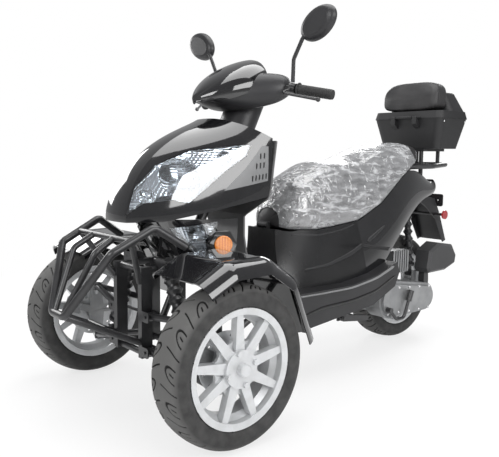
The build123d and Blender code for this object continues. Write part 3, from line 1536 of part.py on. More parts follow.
# Rear mudguard with the plate carrier and the stalks of the red reflectors
guard_outline = [
    (1440.0, 700.0),
    (1484.0, 700.0),
    (1494.0, 662.0),
    (1562.0, 650.0),
    (1606.0, 578.0),
    (rear_reach, 438.0),
    (rear_reach - 24.0, 430.0),
    (1570.0, 552.0),
    (1500.0, 606.0),
    (1440.0, 640.0),
]
mudguard_half = 74.0
plate_s = 1590.0
plate_z = 640.0
plate_hole_pitch = 146.0
plate_hole_radius = 3.3
plate_thickness = 4.0
stalk_s = 1562.0
stalk_z = 574.0
red_radius = 21.0
red_x = 128.0
with BuildPart() as rear_mudguard:
    with BuildSketch(side.offset(-mudguard_half)):
        with BuildLine():
            Polyline(*guard_outline, close=True)
        make_face()
    extrude(amount=2 * mudguard_half)
    with BuildSketch(side.offset(skin - mudguard_half)):
        with BuildLine():
            Polyline(*[(s - 4.0, z - 7.0) for s, z in guard_outline], close=True)
        make_face()
    extrude(amount=2 * (mudguard_half - skin), mode=Mode.SUBTRACT)
    with BuildSketch(Plane(origin=spot(0, plate_s, plate_z), x_dir=(1, 0, 0), z_dir=(0, 1, 0))):
        RectangleRounded(200.0, 60.0, 10.0)
        with Locations((-plate_hole_pitch / 2, 0), (plate_hole_pitch / 2, 0)):
            Circle(plate_hole_radius, mode=Mode.SUBTRACT)
    extrude(amount=plate_thickness)
    with BuildSketch(side.offset(-30.0)):
        with BuildLine():
            Polyline(
                (1556.0, 648.0), (plate_s + 1.0, 654.0), (plate_s + 1.0, 622.0), (1582.0, 615.0), close=True
            )
        make_face()
    extrude(amount=60.0)
    with BuildSketch(side.offset(-red_x)):
        with Locations((stalk_s, stalk_z)):
            Circle(7.0)
    extrude(amount=2 * red_x)
with BuildPart() as red_one:
    with BuildSketch(side.offset(red_x + fit)):
        with Locations((stalk_s, stalk_z)):
            Circle(red_radius)
    extrude(amount=8.0)
with BuildPart() as red_reflectors:
    add(red_one.part)
    add(mirrored(red_one.part))
write(rear_mudguard.part, "rear_mudguard")
write(red_reflectors.part, "red_reflectors")

# Engine: crankcase block, neck to the belt case and a finned shroud above it
engine_half = 70.0
engine_front = 956.0
engine_back = 1074.0
engine_foot = 186.0
engine_head = 372.0
case_inner_x = 106.0
case_outer_x = 186.0
shroud_x = (84.0, 150.0)
shroud_s = (1150.0, 1262.0)
shroud_z = (336.0, 436.0)
fin_count = 7
with BuildPart() as engine:
    with BuildSketch(side.offset(-engine_half)):
        with BuildLine():
            Polyline(
                (engine_front, engine_foot + 60.0),
                (engine_front + 30.0, engine_foot),
                (engine_back, engine_foot),
                (engine_back, engine_head - 40.0),
                (engine_back - 30.0, engine_head),
                (engine_front + 20.0, engine_head),
                close=True,
            )
        make_face()
    extrude(amount=2 * engine_half)
    with BuildSketch(side.offset(engine_half - 1.0)):
        with Locations(((1010.0 + engine_back) / 2, 245.0)):
            RectangleRounded(engine_back - 1010.0, 118.0, 14.0)
    extrude(amount=case_inner_x - engine_half + 1.0 - fit)
    with BuildSketch(side.offset(shroud_x[0])):
        with Locations(((shroud_s[0] + shroud_s[1]) / 2, (shroud_z[0] + shroud_z[1]) / 2)):
            RectangleRounded(shroud_s[1] - shroud_s[0], shroud_z[1] - shroud_z[0], 12.0)
    extrude(amount=shroud_x[1] - shroud_x[0])
    with BuildSketch(side.offset(shroud_x[1] - 14.0)):
        with Locations(((shroud_s[0] + shroud_s[1]) / 2, (shroud_z[0] + shroud_z[1]) / 2)):
            with GridLocations((shroud_s[1] - shroud_s[0]) / fin_count, 0, fin_count - 1, 1):
                Rectangle(8.0, shroud_z[1] - shroud_z[0] + 10.0)
    extrude(amount=20.0, mode=Mode.SUBTRACT)
    with BuildSketch(side.offset(shroud_x[0])):
        with BuildLine():
            Polyline((1066.0, 300.0), (1066.0, 360.0), (1160.0, 400.0), (1160.0, 345.0), close=True)
        make_face()
    extrude(amount=20.0)
    with BuildSketch(side.offset(-30.0)):
        with Locations((942.0, 272.0)):
            Rectangle(40.0, 26.0)
    extrude(amount=60.0)
    add(frame.part, mode=Mode.SUBTRACT)
write(engine.part, "engine")

# Belt case: hull round the drive and driven pulleys, stub axle, kick starter
drive_pulley = (1096.0, 234.0, 82.0)
driven_pulley = (1345.0, 216.0, 62.0)
cover_step = 12.0
cover_inset = 14.0
axle_inner = 66.0
kick_shaft = (1054.0, 198.0)
kick_x = 214.0
case_layers = [
    (0.0, case_inner_x, case_outer_x - case_inner_x),
    (cover_inset, case_outer_x, cover_step),
]
with BuildPart() as belt_case:
    for inset, start, thickness in case_layers:
        with BuildSketch(side.offset(start)):
            with BuildLine():
                for s, z, radius in (drive_pulley, driven_pulley):
                    CenterArc((s, z), radius - inset, 0, 360)
            make_hull()
        extrude(amount=thickness)
    with BuildSketch(side.offset(76.0)):
        with Locations((wheelbase, tyre_radius)):
            Circle(42.0)
    extrude(amount=case_inner_x - 76.0)
    with BuildSketch(side.offset(27.0)):
        with Locations((wheelbase, tyre_radius)):
            Circle(30.0)
    extrude(amount=50.0)
    with BuildSketch(side.offset(-axle_inner)):
        with Locations((wheelbase, tyre_radius)):
            Circle(axle_radius)
    extrude(amount=axle_inner + 80.0)
    for start in (rear_plate_x, 2 * rear_shock_x - rear_plate_x - rear_plate):
        with BuildSketch(side.offset(start)):
            with Locations((rear_shock_foot[1], rear_shock_foot[2] - 18.0)):
                Rectangle(30.0, 64.0)
        extrude(amount=rear_plate)
    with BuildSketch(side.offset(2 * rear_shock_x - rear_plate_x - rear_plate)):
        with Locations((rear_shock_foot[1], rear_shock_foot[2] - 36.0)):
            Rectangle(30.0, 24.0)
    extrude(amount=2 * (rear_plate_x + rear_plate - rear_shock_x))
    with BuildSketch(side.offset(2 * rear_shock_x - rear_plate_x - rear_plate - 2.0)):
        with Locations((rear_shock_foot[1], rear_shock_foot[2])):
            Circle(bolt_radius)
    extrude(amount=2 * (rear_plate_x + rear_plate + 2.0 - rear_shock_x))
write(belt_case.part, "belt_case")

kick_arm = tube(
    [
        (kick_x, kick_shaft[0], kick_shaft[1]),
        (kick_x, 1100.0, 152.0),
        (kick_x, 1152.0, 152.0),
        (kick_x, 1186.0, 232.0),
    ],
    7.0,
    22.0,
)
kick_pad = tube([(kick_x, 1182.0, 222.0), (kick_x, 1201.0, 266.0)], 13.0)
with BuildPart() as kick_starter:
    add(kick_arm)
    add(kick_pad)
    with BuildSketch(side.offset(case_outer_x + cover_step + fit)):
        with Locations(kick_shaft):
            Circle(12.0)
    extrude(amount=kick_x + 8.0 - case_outer_x - cover_step - fit)
write(kick_starter.part, "kick_starter")

# Air filter box over the belt case's tail
filter_outline = [
    (1336.0, 346.0),
    (1350.0, 424.0),
    (1424.0, 458.0),
    (1528.0, 442.0),
    (1564.0, 392.0),
    (1556.0, 350.0),
    (1480.0, 326.0),
    (1350.0, 324.0),
]
filter_x = (130.0, 206.0)
with BuildPart() as air_filter_box:
    with BuildSketch(side.offset(filter_x[0])):
        with BuildLine():
            Polyline(*filter_outline, close=True)
        make_face()
    extrude(amount=filter_x[1] - filter_x[0])
    chamfer(air_filter_box.faces().sort_by(Axis.X)[-1].edges(), 10.0)
    with BuildSketch(side.offset(filter_x[0])):
        with Locations((1386.0, 300.0)):
            Rectangle(30.0, 90.0)
    extrude(amount=30.0)
    with BuildSketch(side.offset(case_inner_x - 10.0)):
        with BuildLine():
            for s, z, radius in (drive_pulley, driven_pulley):
                CenterArc((s, z), radius + fit, 0, 360)
        make_hull()
    extrude(amount=140.0, mode=Mode.SUBTRACT)
write(air_filter_box.part, "air_filter_box")

# Exhaust on the right: pipe under the engine, tapered silencer, bracket to the crankcase
silencer_radius = 50.0
silencer_front = (-134.0, 1150.0, 214.0)
silencer_back = (-138.0, 1500.0, 286.0)
silencer_way = (spot(*silencer_back) - spot(*silencer_front)).normalized()
silencer_length = (spot(*silencer_back) - spot(*silencer_front)).length
with BuildPart() as exhaust:
    with BuildSketch(Plane(origin=spot(*silencer_front), z_dir=silencer_way)):
        Circle(22.0)
    with BuildSketch(Plane(origin=spot(*silencer_front) + silencer_way * 50.0, z_dir=silencer_way)):
        Circle(silencer_radius)
    loft()
    with BuildSketch(Plane(origin=spot(*silencer_front) + silencer_way * 50.0, z_dir=silencer_way)):
        Circle(silencer_radius)
    extrude(amount=silencer_length - 50.0)
    with BuildSketch(Plane(origin=spot(*silencer_back), z_dir=silencer_way)):
        Circle(18.0)
        Circle(14.0, mode=Mode.SUBTRACT)
    extrude(amount=30.0)
    add(
        tube(
            [
                (-engine_half - fit, 1000.0, 222.0),
                (-104.0, 1000.0, 222.0),
                (-130.0, 1090.0, 202.0),
                (silencer_front[0], silencer_front[1] + 6.0, silencer_front[2] + 1.0),
            ],
            14.0,
            20.0,
        )
    )
    with BuildSketch(Plane(origin=spot(0, 1056.0, 262.0))):
        with BuildLine():
            Polyline(
                (-engine_half - fit, 0),
                (-engine_half - fit, 16.0),
                (-134.0, 190.0),
                (-134.0, 160.0),
                (-92.0, 0),
                close=True,
            )
        make_face()
    extrude(amount=6.0)
write(exhaust.part, "exhaust")

# Rear shock on the left, from the belt case to the frame
with BuildPart() as rear_shock:
    add(
        shock(
            spot(*rear_shock_top),
            spot(*rear_shock_foot),
            rear_spring_radius,
            rear_eye_length,
            Vector(1, 0, 0),
        )
    )
write(rear_shock.part, "rear_shock")

# Centre stand, folded back under the engine
stand_leg_length = 150.0
stand_rest_drop = 22.0
stand_tip_s = stand_pivot_s + stand_leg_length * cos(radians(8.4))
stand_tip_z = stand_pivot_z - stand_rest_drop
bar_share = 0.72
bar_s = stand_pivot_s + bar_share * (stand_tip_s - stand_pivot_s)
bar_z = stand_pivot_z + bar_share * (stand_tip_z - stand_pivot_z)
with BuildPart() as centre_stand:
    for hand in (-1, 1):
        with BuildSketch(side.offset(hand * stand_leg_x - stand_barrel_half)):
            with BuildLine():
                CenterArc((stand_pivot_s, stand_pivot_z), 14.0, 0, 360)
                CenterArc((stand_tip_s, stand_tip_z), 12.0, 0, 360)
            make_hull()
        extrude(amount=2 * stand_barrel_half)
    with BuildSketch(side.offset(-stand_leg_x)):
        with Locations((bar_s, bar_z)):
            Circle(8.0)
    extrude(amount=2 * stand_leg_x)
    with BuildSketch(side.offset(-stand_leg_x - stand_barrel_half)):
        with Locations((stand_pivot_s, stand_pivot_z)):
            Circle(stand_pin_radius + pin_fit)
    extrude(amount=2 * (stand_leg_x + stand_barrel_half), mode=Mode.SUBTRACT)
write(centre_stand.part, "centre_stand")
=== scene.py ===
import math
import bmesh
import bpy
import numpy as np
from mathutils import Matrix, Vector


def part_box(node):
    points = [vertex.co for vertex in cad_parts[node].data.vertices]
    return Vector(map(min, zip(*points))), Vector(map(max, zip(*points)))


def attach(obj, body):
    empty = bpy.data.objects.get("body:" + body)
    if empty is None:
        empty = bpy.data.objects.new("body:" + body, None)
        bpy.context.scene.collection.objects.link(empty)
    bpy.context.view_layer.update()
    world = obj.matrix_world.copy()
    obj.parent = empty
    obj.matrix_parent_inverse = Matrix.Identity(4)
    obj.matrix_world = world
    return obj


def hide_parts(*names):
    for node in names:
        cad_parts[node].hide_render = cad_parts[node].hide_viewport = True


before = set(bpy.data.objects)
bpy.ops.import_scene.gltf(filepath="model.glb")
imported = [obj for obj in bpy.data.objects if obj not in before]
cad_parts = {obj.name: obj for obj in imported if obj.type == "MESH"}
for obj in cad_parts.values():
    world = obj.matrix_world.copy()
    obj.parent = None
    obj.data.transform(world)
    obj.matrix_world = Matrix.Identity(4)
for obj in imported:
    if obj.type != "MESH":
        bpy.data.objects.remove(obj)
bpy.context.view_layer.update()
print("frame loaded:", len(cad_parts), "nodes")

# the view of the photograph: metres, millimetres of lens and of sensor, degrees of roll
camera = {
    "eye": (1.8431, -1.7945, 0.8516),
    "target": (-0.12297, -0.11494, 0.55173),
    "lens": 46.03,
    "sensor": 36.0,
    "roll": 0.59,
}
lens = bpy.data.cameras.new("studioCamera")
lens.lens = camera["lens"]
lens.sensor_width = camera["sensor"]
eyePiece = bpy.data.objects.new("studioCamera", lens)
bpy.context.scene.collection.objects.link(eyePiece)


# a place and a turn that look from one point to another; cameras and lamps shine along their own -Z
def lookingFrom(place, aim):
    turn = (Vector(aim) - Vector(place)).to_track_quat("-Z", "Y").to_matrix().to_4x4()
    return Matrix.Translation(Vector(place)) @ turn


roll = Matrix.Rotation(math.radians(camera["roll"]), 4, "Z")
eyePiece.matrix_world = lookingFrom(camera["eye"], camera["target"]) @ roll
bpy.context.scene.camera = eyePiece
bpy.context.scene.view_settings.view_transform = "Standard"


# a shader socket that takes part in sums, so a mask is written as plain maths
class Wire:
    def __init__(self, graph, socket):
        self.graph = graph
        self.socket = socket

    def maths(self, way, *others):
        return self.graph.node("ShaderNodeMath", {"operation": way}, dict(enumerate((self,) + others)))

    def __add__(self, other):
        return self.maths("ADD", other)

    __radd__ = __add__

    def __sub__(self, other):
        return self.maths("SUBTRACT", other)

    def __rsub__(self, other):
        return (self * -1.0).maths("ADD", other)

    def __mul__(self, other):
        return self.maths("MULTIPLY", other)

    __rmul__ = __mul__

    def __gt__(self, other):
        return self.maths("GREATER_THAN", other)

    def __lt__(self, other):
        return self.maths("LESS_THAN", other)


# one material's nodes: a Principled shader and what feeds it
class Finish:
    def __init__(self, name, **flat):
        self.material = bpy.data.materials.new(name)
        self.material.use_nodes = True
        self.tree = self.material.node_tree
        self.tree.nodes.clear()
        self.output = self.tree.nodes.new("ShaderNodeOutputMaterial")
        self.shader = self.tree.nodes.new("ShaderNodeBsdfPrincipled")
        self.tree.links.new(self.shader.outputs[0], self.output.inputs["Surface"])
        for socket, value in flat.items():
            self.feed(socket, value)
        self.place = self.node("ShaderNodeTexCoord", {}, {}, "Object")

    def node(self, kind, settings, sockets, out=0):
        made = self.tree.nodes.new(kind)
        for setting, value in settings.items():
            if setting == "stops":
                for stop, (spot, shade) in zip(made.color_ramp.elements, value):
                    stop.position = spot
                    stop.color = shade
            else:
                setattr(made, setting, value)
        for socket, value in sockets.items():
            self.plug(made.inputs[socket], value)
        return Wire(self, made.outputs[out])

    def plug(self, socket, value):
        if isinstance(value, Wire):
            self.tree.links.new(value.socket, socket)
        else:
            socket.default_value = value

    def feed(self, socket, value):
        name = socket.replace("_", " ")
        if name == "Base Color" and not isinstance(value, Wire):
            value = tuple(value) + (1.0,)
        self.plug(self.shader.inputs[name], value)

    def noise(self, scale, detail=3.0, stretch=None):
        place = self.place
        if stretch:
            place = self.node("ShaderNodeMapping", {}, {"Vector": place, "Scale": stretch})
        return self.node("ShaderNodeTexNoise", {}, {"Vector": place, "Scale": scale, "Detail": detail}, "Fac")

    def mixed(self, mask, low, high):
        shade = [value if isinstance(value, Wire) else tuple(value) + (1.0,) for value in (low, high)]
        return self.node("ShaderNodeMix", {"data_type": "RGBA"}, {0: mask, 6: shade[0], 7: shade[1]}, 2)

    def between(self, value, low, high, start=0.0, end=1.0):
        return self.node("ShaderNodeMapRange", {}, {0: value, 1: start, 2: end, 3: low, 4: high})

    def bump(self, height, strength, distance, under=None):
        sockets = {"Height": height, "Strength": strength, "Distance": distance}
        if under:
            sockets["Normal"] = under
        return self.node("ShaderNodeBump", {}, sockets)

    def axes(self):
        split = self.node("ShaderNodeSeparateXYZ", {}, {0: self.place}).socket.node
        return [Wire(self, split.outputs[i]) for i in range(3)]


# glossy black lacquer: near-black colour, a slow waver in roughness, faint orange peel under the coat
def makeGloss():
    coat = Finish("glossLacquer", Coat_Weight=1.0, Coat_Roughness=0.02, Specular_IOR_Level=0.55)
    haze = coat.noise(7.0, 4.0)
    hazy = coat.between(haze, 0.0, 1.0, 0.35, 0.75)
    coat.feed("Base Color", coat.mixed(hazy, (0.004, 0.004, 0.005), (0.011, 0.011, 0.012)))
    coat.feed("Roughness", coat.between(haze, 0.05, 0.13))
    coat.feed("Normal", coat.bump(coat.noise(160.0, 1.0), 0.03, 0.0004))
    return coat.material


# moulded satin plastic: colour and roughness follow a large noise, the bump is a fine grain
def makeSatin(name, dark, pale, roughness, grain, depth):
    satin = Finish(name, Specular_IOR_Level=0.45)
    patch = satin.noise(5.0, 5.0)
    speck = satin.noise(grain, 2.0)
    satin.feed("Base Color", satin.mixed(satin.between(patch, 0.0, 1.0, 0.3, 0.7), dark, pale))
    satin.feed("Roughness", satin.between(patch, roughness - 0.05, roughness + 0.06))
    satin.feed("Normal", satin.bump(speck, 0.35, depth))
    return satin.material


# metal: colour follows a large noise, roughness its mean with the fine one, whose pits are the bump
def makeMetal(name, dark, pale, roughness, metallic, grain, depth, coat):
    metal = Finish(name, Metallic=metallic, Coat_Weight=coat, Coat_Roughness=0.12)
    patch = metal.noise(18.0, 6.0)
    pits = metal.noise(grain, 3.0)
    metal.feed("Base Color", metal.mixed(metal.between(patch, 0.0, 1.0, 0.3, 0.7), dark, pale))
    metal.feed("Roughness", metal.between(patch * 0.5 + pits * 0.5, roughness - 0.08, roughness + 0.1))
    metal.feed("Normal", metal.bump(pits, 0.4, depth))
    return metal.material


# silver wheel paint: a very fine fleck, patches of brake dust where a noise is low, clear coat
def makeWheelPaint():
    paint = Finish("wheelPaint", Metallic=0.25, Coat_Weight=0.6, Coat_Roughness=0.08)
    fleck = paint.node("ShaderNodeTexVoronoi", {}, {"Vector": paint.place, "Scale": 2600.0}, "Distance")
    dust = paint.noise(26.0, 5.0)
    base = paint.mixed(paint.between(fleck, 0.0, 1.0, 0.0, 0.8), (0.50, 0.51, 0.52), (0.62, 0.63, 0.64))
    paint.feed("Base Color", paint.mixed(paint.between(dust, 0.0, 0.35, 0.45, 0.8), base, (0.33, 0.33, 0.32)))
    paint.feed("Roughness", paint.between(dust, 0.24, 0.4))
    paint.feed("Normal", paint.bump(paint.noise(420.0, 2.0), 0.12, 0.0003))
    return paint.material


# tyre rubber: dust that is paler on the tread, painted shade (near black) where the mesh says groove,
# and fine rings on the wall from a sine of the distance to the hub
def makeRubber(name, hub):
    rubber = Finish(name, Specular_IOR_Level=0.35)
    x, y, z = rubber.axes()
    radius = ((y - hub[1]) * (y - hub[1]) + (z - hub[2]) * (z - hub[2])).maths("SQRT")
    rings = (radius * 2100.0).maths("SINE")
    onWall = (radius > 0.166) * (radius < 0.198)
    dust = rubber.noise(34.0, 6.0)
    dusty = rubber.between(dust, 0.0, 1.0, 0.3, 0.75)
    wall = rubber.mixed(dusty, (0.026, 0.026, 0.026), (0.060, 0.059, 0.058))
    tread = rubber.mixed(rubber.between(radius, 0.0, 1.0, 0.222, 0.236), wall, (0.105, 0.104, 0.102))
    # painted shade: the grooves' share from the mesh darkens the colour to near black
    groove = rubber.node("ShaderNodeAttribute", {"attribute_name": "groove"}, {}, "Fac")
    grooveShade = rubber.between(groove, 0.0, 1.0, 0.15, 0.6)
    rubber.feed("Base Color", rubber.mixed(grooveShade, tread, (0.006, 0.006, 0.006)))
    rubber.feed("Roughness", rubber.between(dust, 0.55, 0.82))
    grain = rubber.bump(rubber.noise(700.0, 2.0), 0.35, 0.0004)
    rubber.feed("Normal", rubber.bump(rings * onWall, 0.35, 0.0006, grain))
    return rubber.material


# clear moulded lens seen as a thin wall: see-through, mirror-like where the view grazes it
def makeClear(name, tint):
    clear = Finish(name, Roughness=0.03)
    pane = clear.node("ShaderNodeBsdfTransparent", {}, {"Color": tuple(tint) + (1.0,)})
    gleam = clear.node("ShaderNodeBsdfGlossy", {}, {"Color": (1.0, 1.0, 1.0, 1.0), "Roughness": 0.03})
    relief = clear.bump(clear.noise(9.0, 2.0), 0.1, 0.001)
    clear.plug(gleam.socket.node.inputs["Normal"], relief)
    share = clear.node("ShaderNodeFresnel", {}, {"IOR": 1.5, "Normal": relief})
    blend = clear.node("ShaderNodeMixShader", {}, {0: clear.between(share, 0.05, 1.0), 1: pane, 2: gleam})
    clear.plug(clear.output.inputs["Surface"], blend)
    return clear.material


# coloured lens: a honeycomb of prisms from a Voronoi field, glossy skin, and a painted glow: the lens gives
# off its own colour at strength 0.1
def makeSignal(name, deep, bright):
    signal = Finish(name, Roughness=0.12, Coat_Weight=1.0, Coat_Roughness=0.03, Emission_Strength=0.1)
    prisms = {"Vector": signal.place, "Scale": 260.0, "Randomness": 0.15}
    cells = signal.node("ShaderNodeTexVoronoi", {}, prisms, "Distance")
    shade = signal.mixed(signal.between(cells, 0.0, 1.0, 0.05, 0.6), bright, deep)
    signal.feed("Base Color", shade)
    # painted glow: the lens colour is also emitted as light
    signal.feed("Emission Color", shade)
    signal.feed("Normal", signal.bump(cells, 0.6, 0.0012))
    return signal.material


# reflector chrome: its bump is the mean of a sine across the lamp and a sine up it
def makeChrome():
    chrome = Finish("lampChrome", Metallic=1.0)
    x, y, z = chrome.axes()
    flutes = (x * 900.0).maths("SINE") * 0.5 + (z * 700.0).maths("SINE") * 0.5
    smear = chrome.noise(12.0, 3.0)
    chrome.feed("Base Color", chrome.mixed(smear, (0.80, 0.81, 0.82), (0.93, 0.935, 0.94)))
    chrome.feed("Roughness", chrome.between(smear, 0.08, 0.26))
    chrome.feed("Normal", chrome.bump(flutes, 0.3, 0.0012))
    return chrome.material


# seat cover: leather-like vinyl, cells of a Voronoi grain with a soft large mottle
def makeVinyl(name, dark, pale, grain):
    vinyl = Finish(name, Specular_IOR_Level=0.4)
    cells = vinyl.node("ShaderNodeTexVoronoi", {}, {"Vector": vinyl.place, "Scale": grain}, "Distance")
    mottle = vinyl.noise(11.0, 5.0)
    vinyl.feed("Base Color", vinyl.mixed(vinyl.between(mottle, 0.0, 1.0, 0.3, 0.7), dark, pale))
    vinyl.feed("Roughness", vinyl.between(mottle, 0.38, 0.56))
    vinyl.feed("Normal", vinyl.bump(cells, 0.35, 0.0006))
    return vinyl.material


# clear wrapping film: see-through, milky along creases, which lie where either of two stretched noises
# crosses its middle value
def makeFilm():
    film = Finish("wrapFilm", Roughness=0.1)
    fine = film.noise(46.0, 5.0, (1.0, 0.4, 1.3))
    wander = (film.noise(8.0, 4.0, (1.0, 0.5, 1.6)) - 0.5).maths("ABSOLUTE")
    across = (film.noise(15.0, 3.0, (0.7, 1.0, 0.5)) - 0.5).maths("ABSOLUTE")
    folds = film.between(wander, 1.0, 0.0, 0.0, 0.03)
    folds = folds.maths("MAXIMUM", film.between(across, 0.8, 0.0, 0.0, 0.022))
    relief = film.bump(fine * 0.5 + folds * 0.5, 0.8, 0.004)
    pane = film.node("ShaderNodeBsdfTransparent", {}, {"Color": (0.97, 0.975, 0.98, 1.0)})
    white = (1.0, 1.0, 1.0, 1.0)
    gleam = film.node("ShaderNodeBsdfGlossy", {}, {"Color": white, "Roughness": 0.16, "Normal": relief})
    milk = film.node("ShaderNodeBsdfDiffuse", {}, {"Color": (0.85, 0.86, 0.88, 1.0), "Normal": relief})
    share = film.node("ShaderNodeFresnel", {}, {"IOR": 1.5, "Normal": relief})
    crease = folds * film.between(fine, 0.2, 1.0, 0.4, 0.65)
    sheer = film.node("ShaderNodeMixShader", {}, {0: film.between(share, 0.13, 1.0), 1: pane, 2: gleam})
    milky = crease * 0.34 + film.between(fine, 0.12, 0.3, 0.35, 0.7)
    whole = film.node("ShaderNodeMixShader", {}, {0: milky, 1: sheer, 2: milk})
    film.plug(film.output.inputs["Surface"], whole)
    return film.material


plastics = {
    # material, darker and paler colour, roughness, grain scale, grain depth in metres
    "satin": ("satinPlastic", (0.013, 0.013, 0.014), (0.025, 0.025, 0.027), 0.38, 900.0, 0.00025),
    "sheen": ("sheenPlastic", (0.008, 0.008, 0.0085), (0.016, 0.016, 0.017), 0.24, 900.0, 0.00025),
    "matte": ("matteTrunk", (0.011, 0.011, 0.012), (0.02, 0.02, 0.021), 0.50, 600.0, 0.0005),
    "silver": ("silverPlastic", (0.17, 0.172, 0.175), (0.23, 0.233, 0.236), 0.34, 900.0, 0.00025),
    "stem": ("stemPlastic", (0.10, 0.10, 0.101), (0.14, 0.14, 0.142), 0.4, 900.0, 0.00025),
    "airBox": ("airBoxPlastic", (0.03, 0.03, 0.031), (0.05, 0.05, 0.052), 0.44, 900.0, 0.00025),
    "grip": ("gripRubber", (0.016, 0.016, 0.016), (0.03, 0.03, 0.03), 0.62, 500.0, 0.0005),
}
metals = {
    # material, darker and paler colour, roughness, metallic, pit scale, pit depth in metres, clear coat
    "steel": ("powderSteel", (0.012, 0.012, 0.013), (0.024, 0.024, 0.026), 0.36, 0.0, 800.0, 0.0003, 0.3),
    "alloy": ("castAlloy", (0.26, 0.265, 0.27), (0.36, 0.365, 0.37), 0.44, 0.7, 520.0, 0.0005, 0.0),
    "bright": ("brightSteel", (0.6, 0.6, 0.61), (0.74, 0.74, 0.75), 0.26, 1.0, 900.0, 0.0002, 0.0),
    "mirror": ("mirrorGlass", (0.72, 0.73, 0.75), (0.78, 0.79, 0.8), 0.09, 1.0, 300.0, 0.00001, 0.0),
}
finishes = {finish: makeSatin(*row) for finish, row in plastics.items()}
finishes.update({finish: makeMetal(*row) for finish, row in metals.items()})
finishes.update({
    "gloss": makeGloss(),
    "wheel": makeWheelPaint(),
    "clear": makeClear("clearLens", (0.93, 0.95, 0.97)),
    "amber": makeSignal("amberLens", (0.55, 0.13, 0.01), (0.95, 0.42, 0.06)),
    "red": makeSignal("redLens", (0.25, 0.01, 0.015), (0.75, 0.05, 0.05)),
    "chrome": makeChrome(),
    "vinyl": makeVinyl("seatVinyl", (0.02, 0.02, 0.021), (0.038, 0.037, 0.038), 620.0),
    "film": makeFilm(),
})

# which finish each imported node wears
wearing = {
    "gloss": ("front_shield", "front_fenders", "rear_panels", "lower_fairing", "visor"),
    "satin": ("cowl", "footboard", "rear_mudguard", "mirrors"),
    "stem": ("leg_shield",),
    "sheen": ("seat_base",),
    "matte": ("trunk_box", "trunk_lid"),
    "silver": ("vent_panels",),
    "airBox": ("air_filter_box",),
    "steel": (
        "frame", "front_guard", "upper_arms", "lower_arms", "tie_rod_left", "tie_rod_right", "handlebar",
        "grab_rail", "seat_hinge", "centre_stand", "kick_starter", "exhaust", "front_shocks", "rear_shock",
    ),
    "alloy": ("knuckle_left", "knuckle_right", "engine", "belt_case"),
    "wheel": ("front_rim_left", "front_rim_right", "rear_rim"),
    "clear": ("lamp_lenses",),
    "amber": ("amber_reflectors",),
    "red": ("tail_lamp", "red_reflectors"),
    "chrome": ("headlight_bowls",),
    "vinyl": ("seat", "backrest_pad"),
    "grip": ("grips", "front_tyre_left", "front_tyre_right", "rear_tyre"),
}


def dress(piece, finish):
    piece.data.materials.clear()
    piece.data.materials.append(finishes[finish])


for finish, nodes in wearing.items():
    for node in nodes:
        dress(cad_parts[node], finish)


# a smooth mesh piece from points and faces, which rides on a body
def makePiece(name, points, faces, finish, body):
    mesh = bpy.data.meshes.new(name)
    mesh.from_pydata(np.asarray(points).reshape(-1, 3).tolist(), [], np.asarray(faces).tolist())
    mesh.polygons.foreach_set("use_smooth", [True] * len(mesh.polygons))
    mesh.update()
    piece = bpy.data.objects.new(name, mesh)
    bpy.context.scene.collection.objects.link(piece)
    dress(piece, finish)
    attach(piece, body)
    return piece


# closes poles and seams: points nearer than a distance become one, and faces are turned outwards
def mergeEnds(piece, distance):
    shape = bmesh.new()
    shape.from_mesh(piece.data)
    bmesh.ops.remove_doubles(shape, verts=shape.verts, dist=distance)
    bmesh.ops.recalc_face_normals(shape, faces=shape.faces)
    shape.to_mesh(piece.data)
    shape.free()
    piece.data.polygons.foreach_set("use_smooth", [True] * len(piece.data.polygons))


# quads over a grid of rows and columns; a wrapped direction joins its end to its start
def gridFaces(rows, columns, wrapRows=False, wrapColumns=False):
    r = np.arange(rows if wrapRows else rows - 1)
    c = np.arange(columns if wrapColumns else columns - 1)
    a = r[:, None] * columns + c[None, :]
    b = r[:, None] * columns + (c[None, :] + 1) % columns
    d = ((r[:, None] + 1) % rows) * columns + c[None, :]
    e = ((r[:, None] + 1) % rows) * columns + (c[None, :] + 1) % columns
    return np.stack([a, b, e, d], axis=-1).reshape(-1, 4)


# solid of revolution: a profile of (along, radius) pairs, each a circle about the axis through the centre
def makeTurned(profile, centre, axis, count=48):
    along, radius = np.asarray(profile, float).T
    axis = np.asarray(axis, float) / np.linalg.norm(axis)
    across = np.cross(axis, (0.0, 0.0, 1.0) if abs(axis[2]) < 0.9 else (1.0, 0.0, 0.0))
    across = across / np.linalg.norm(across)
    up = np.cross(axis, across)
    turn = np.linspace(0.0, 2.0 * np.pi, count, endpoint=False)
    ring = np.cos(turn)[None, :, None] * across + np.sin(turn)[None, :, None] * up
    points = np.asarray(centre, float) + along[:, None, None] * axis + radius[:, None, None] * ring
    return points.reshape(-1, 3), gridFaces(len(profile), count, wrapColumns=True)[:, ::-1]


# several shapes as one mesh
def gathered(shapes):
    points = []
    faces = []
    start = 0
    for shape, quads in shapes:
        points.append(shape)
        faces.append(quads + start)
        start += len(shape)
    return np.concatenate(points), np.concatenate(faces)


# 0 below low, 1 above high, and the cubic 3 t^2 - 2 t^3 between them
def smoothStep(value, low, high):
    share = np.clip((value - low) / (high - low), 0.0, 1.0)
    return share * share * (3.0 - 2.0 * share)


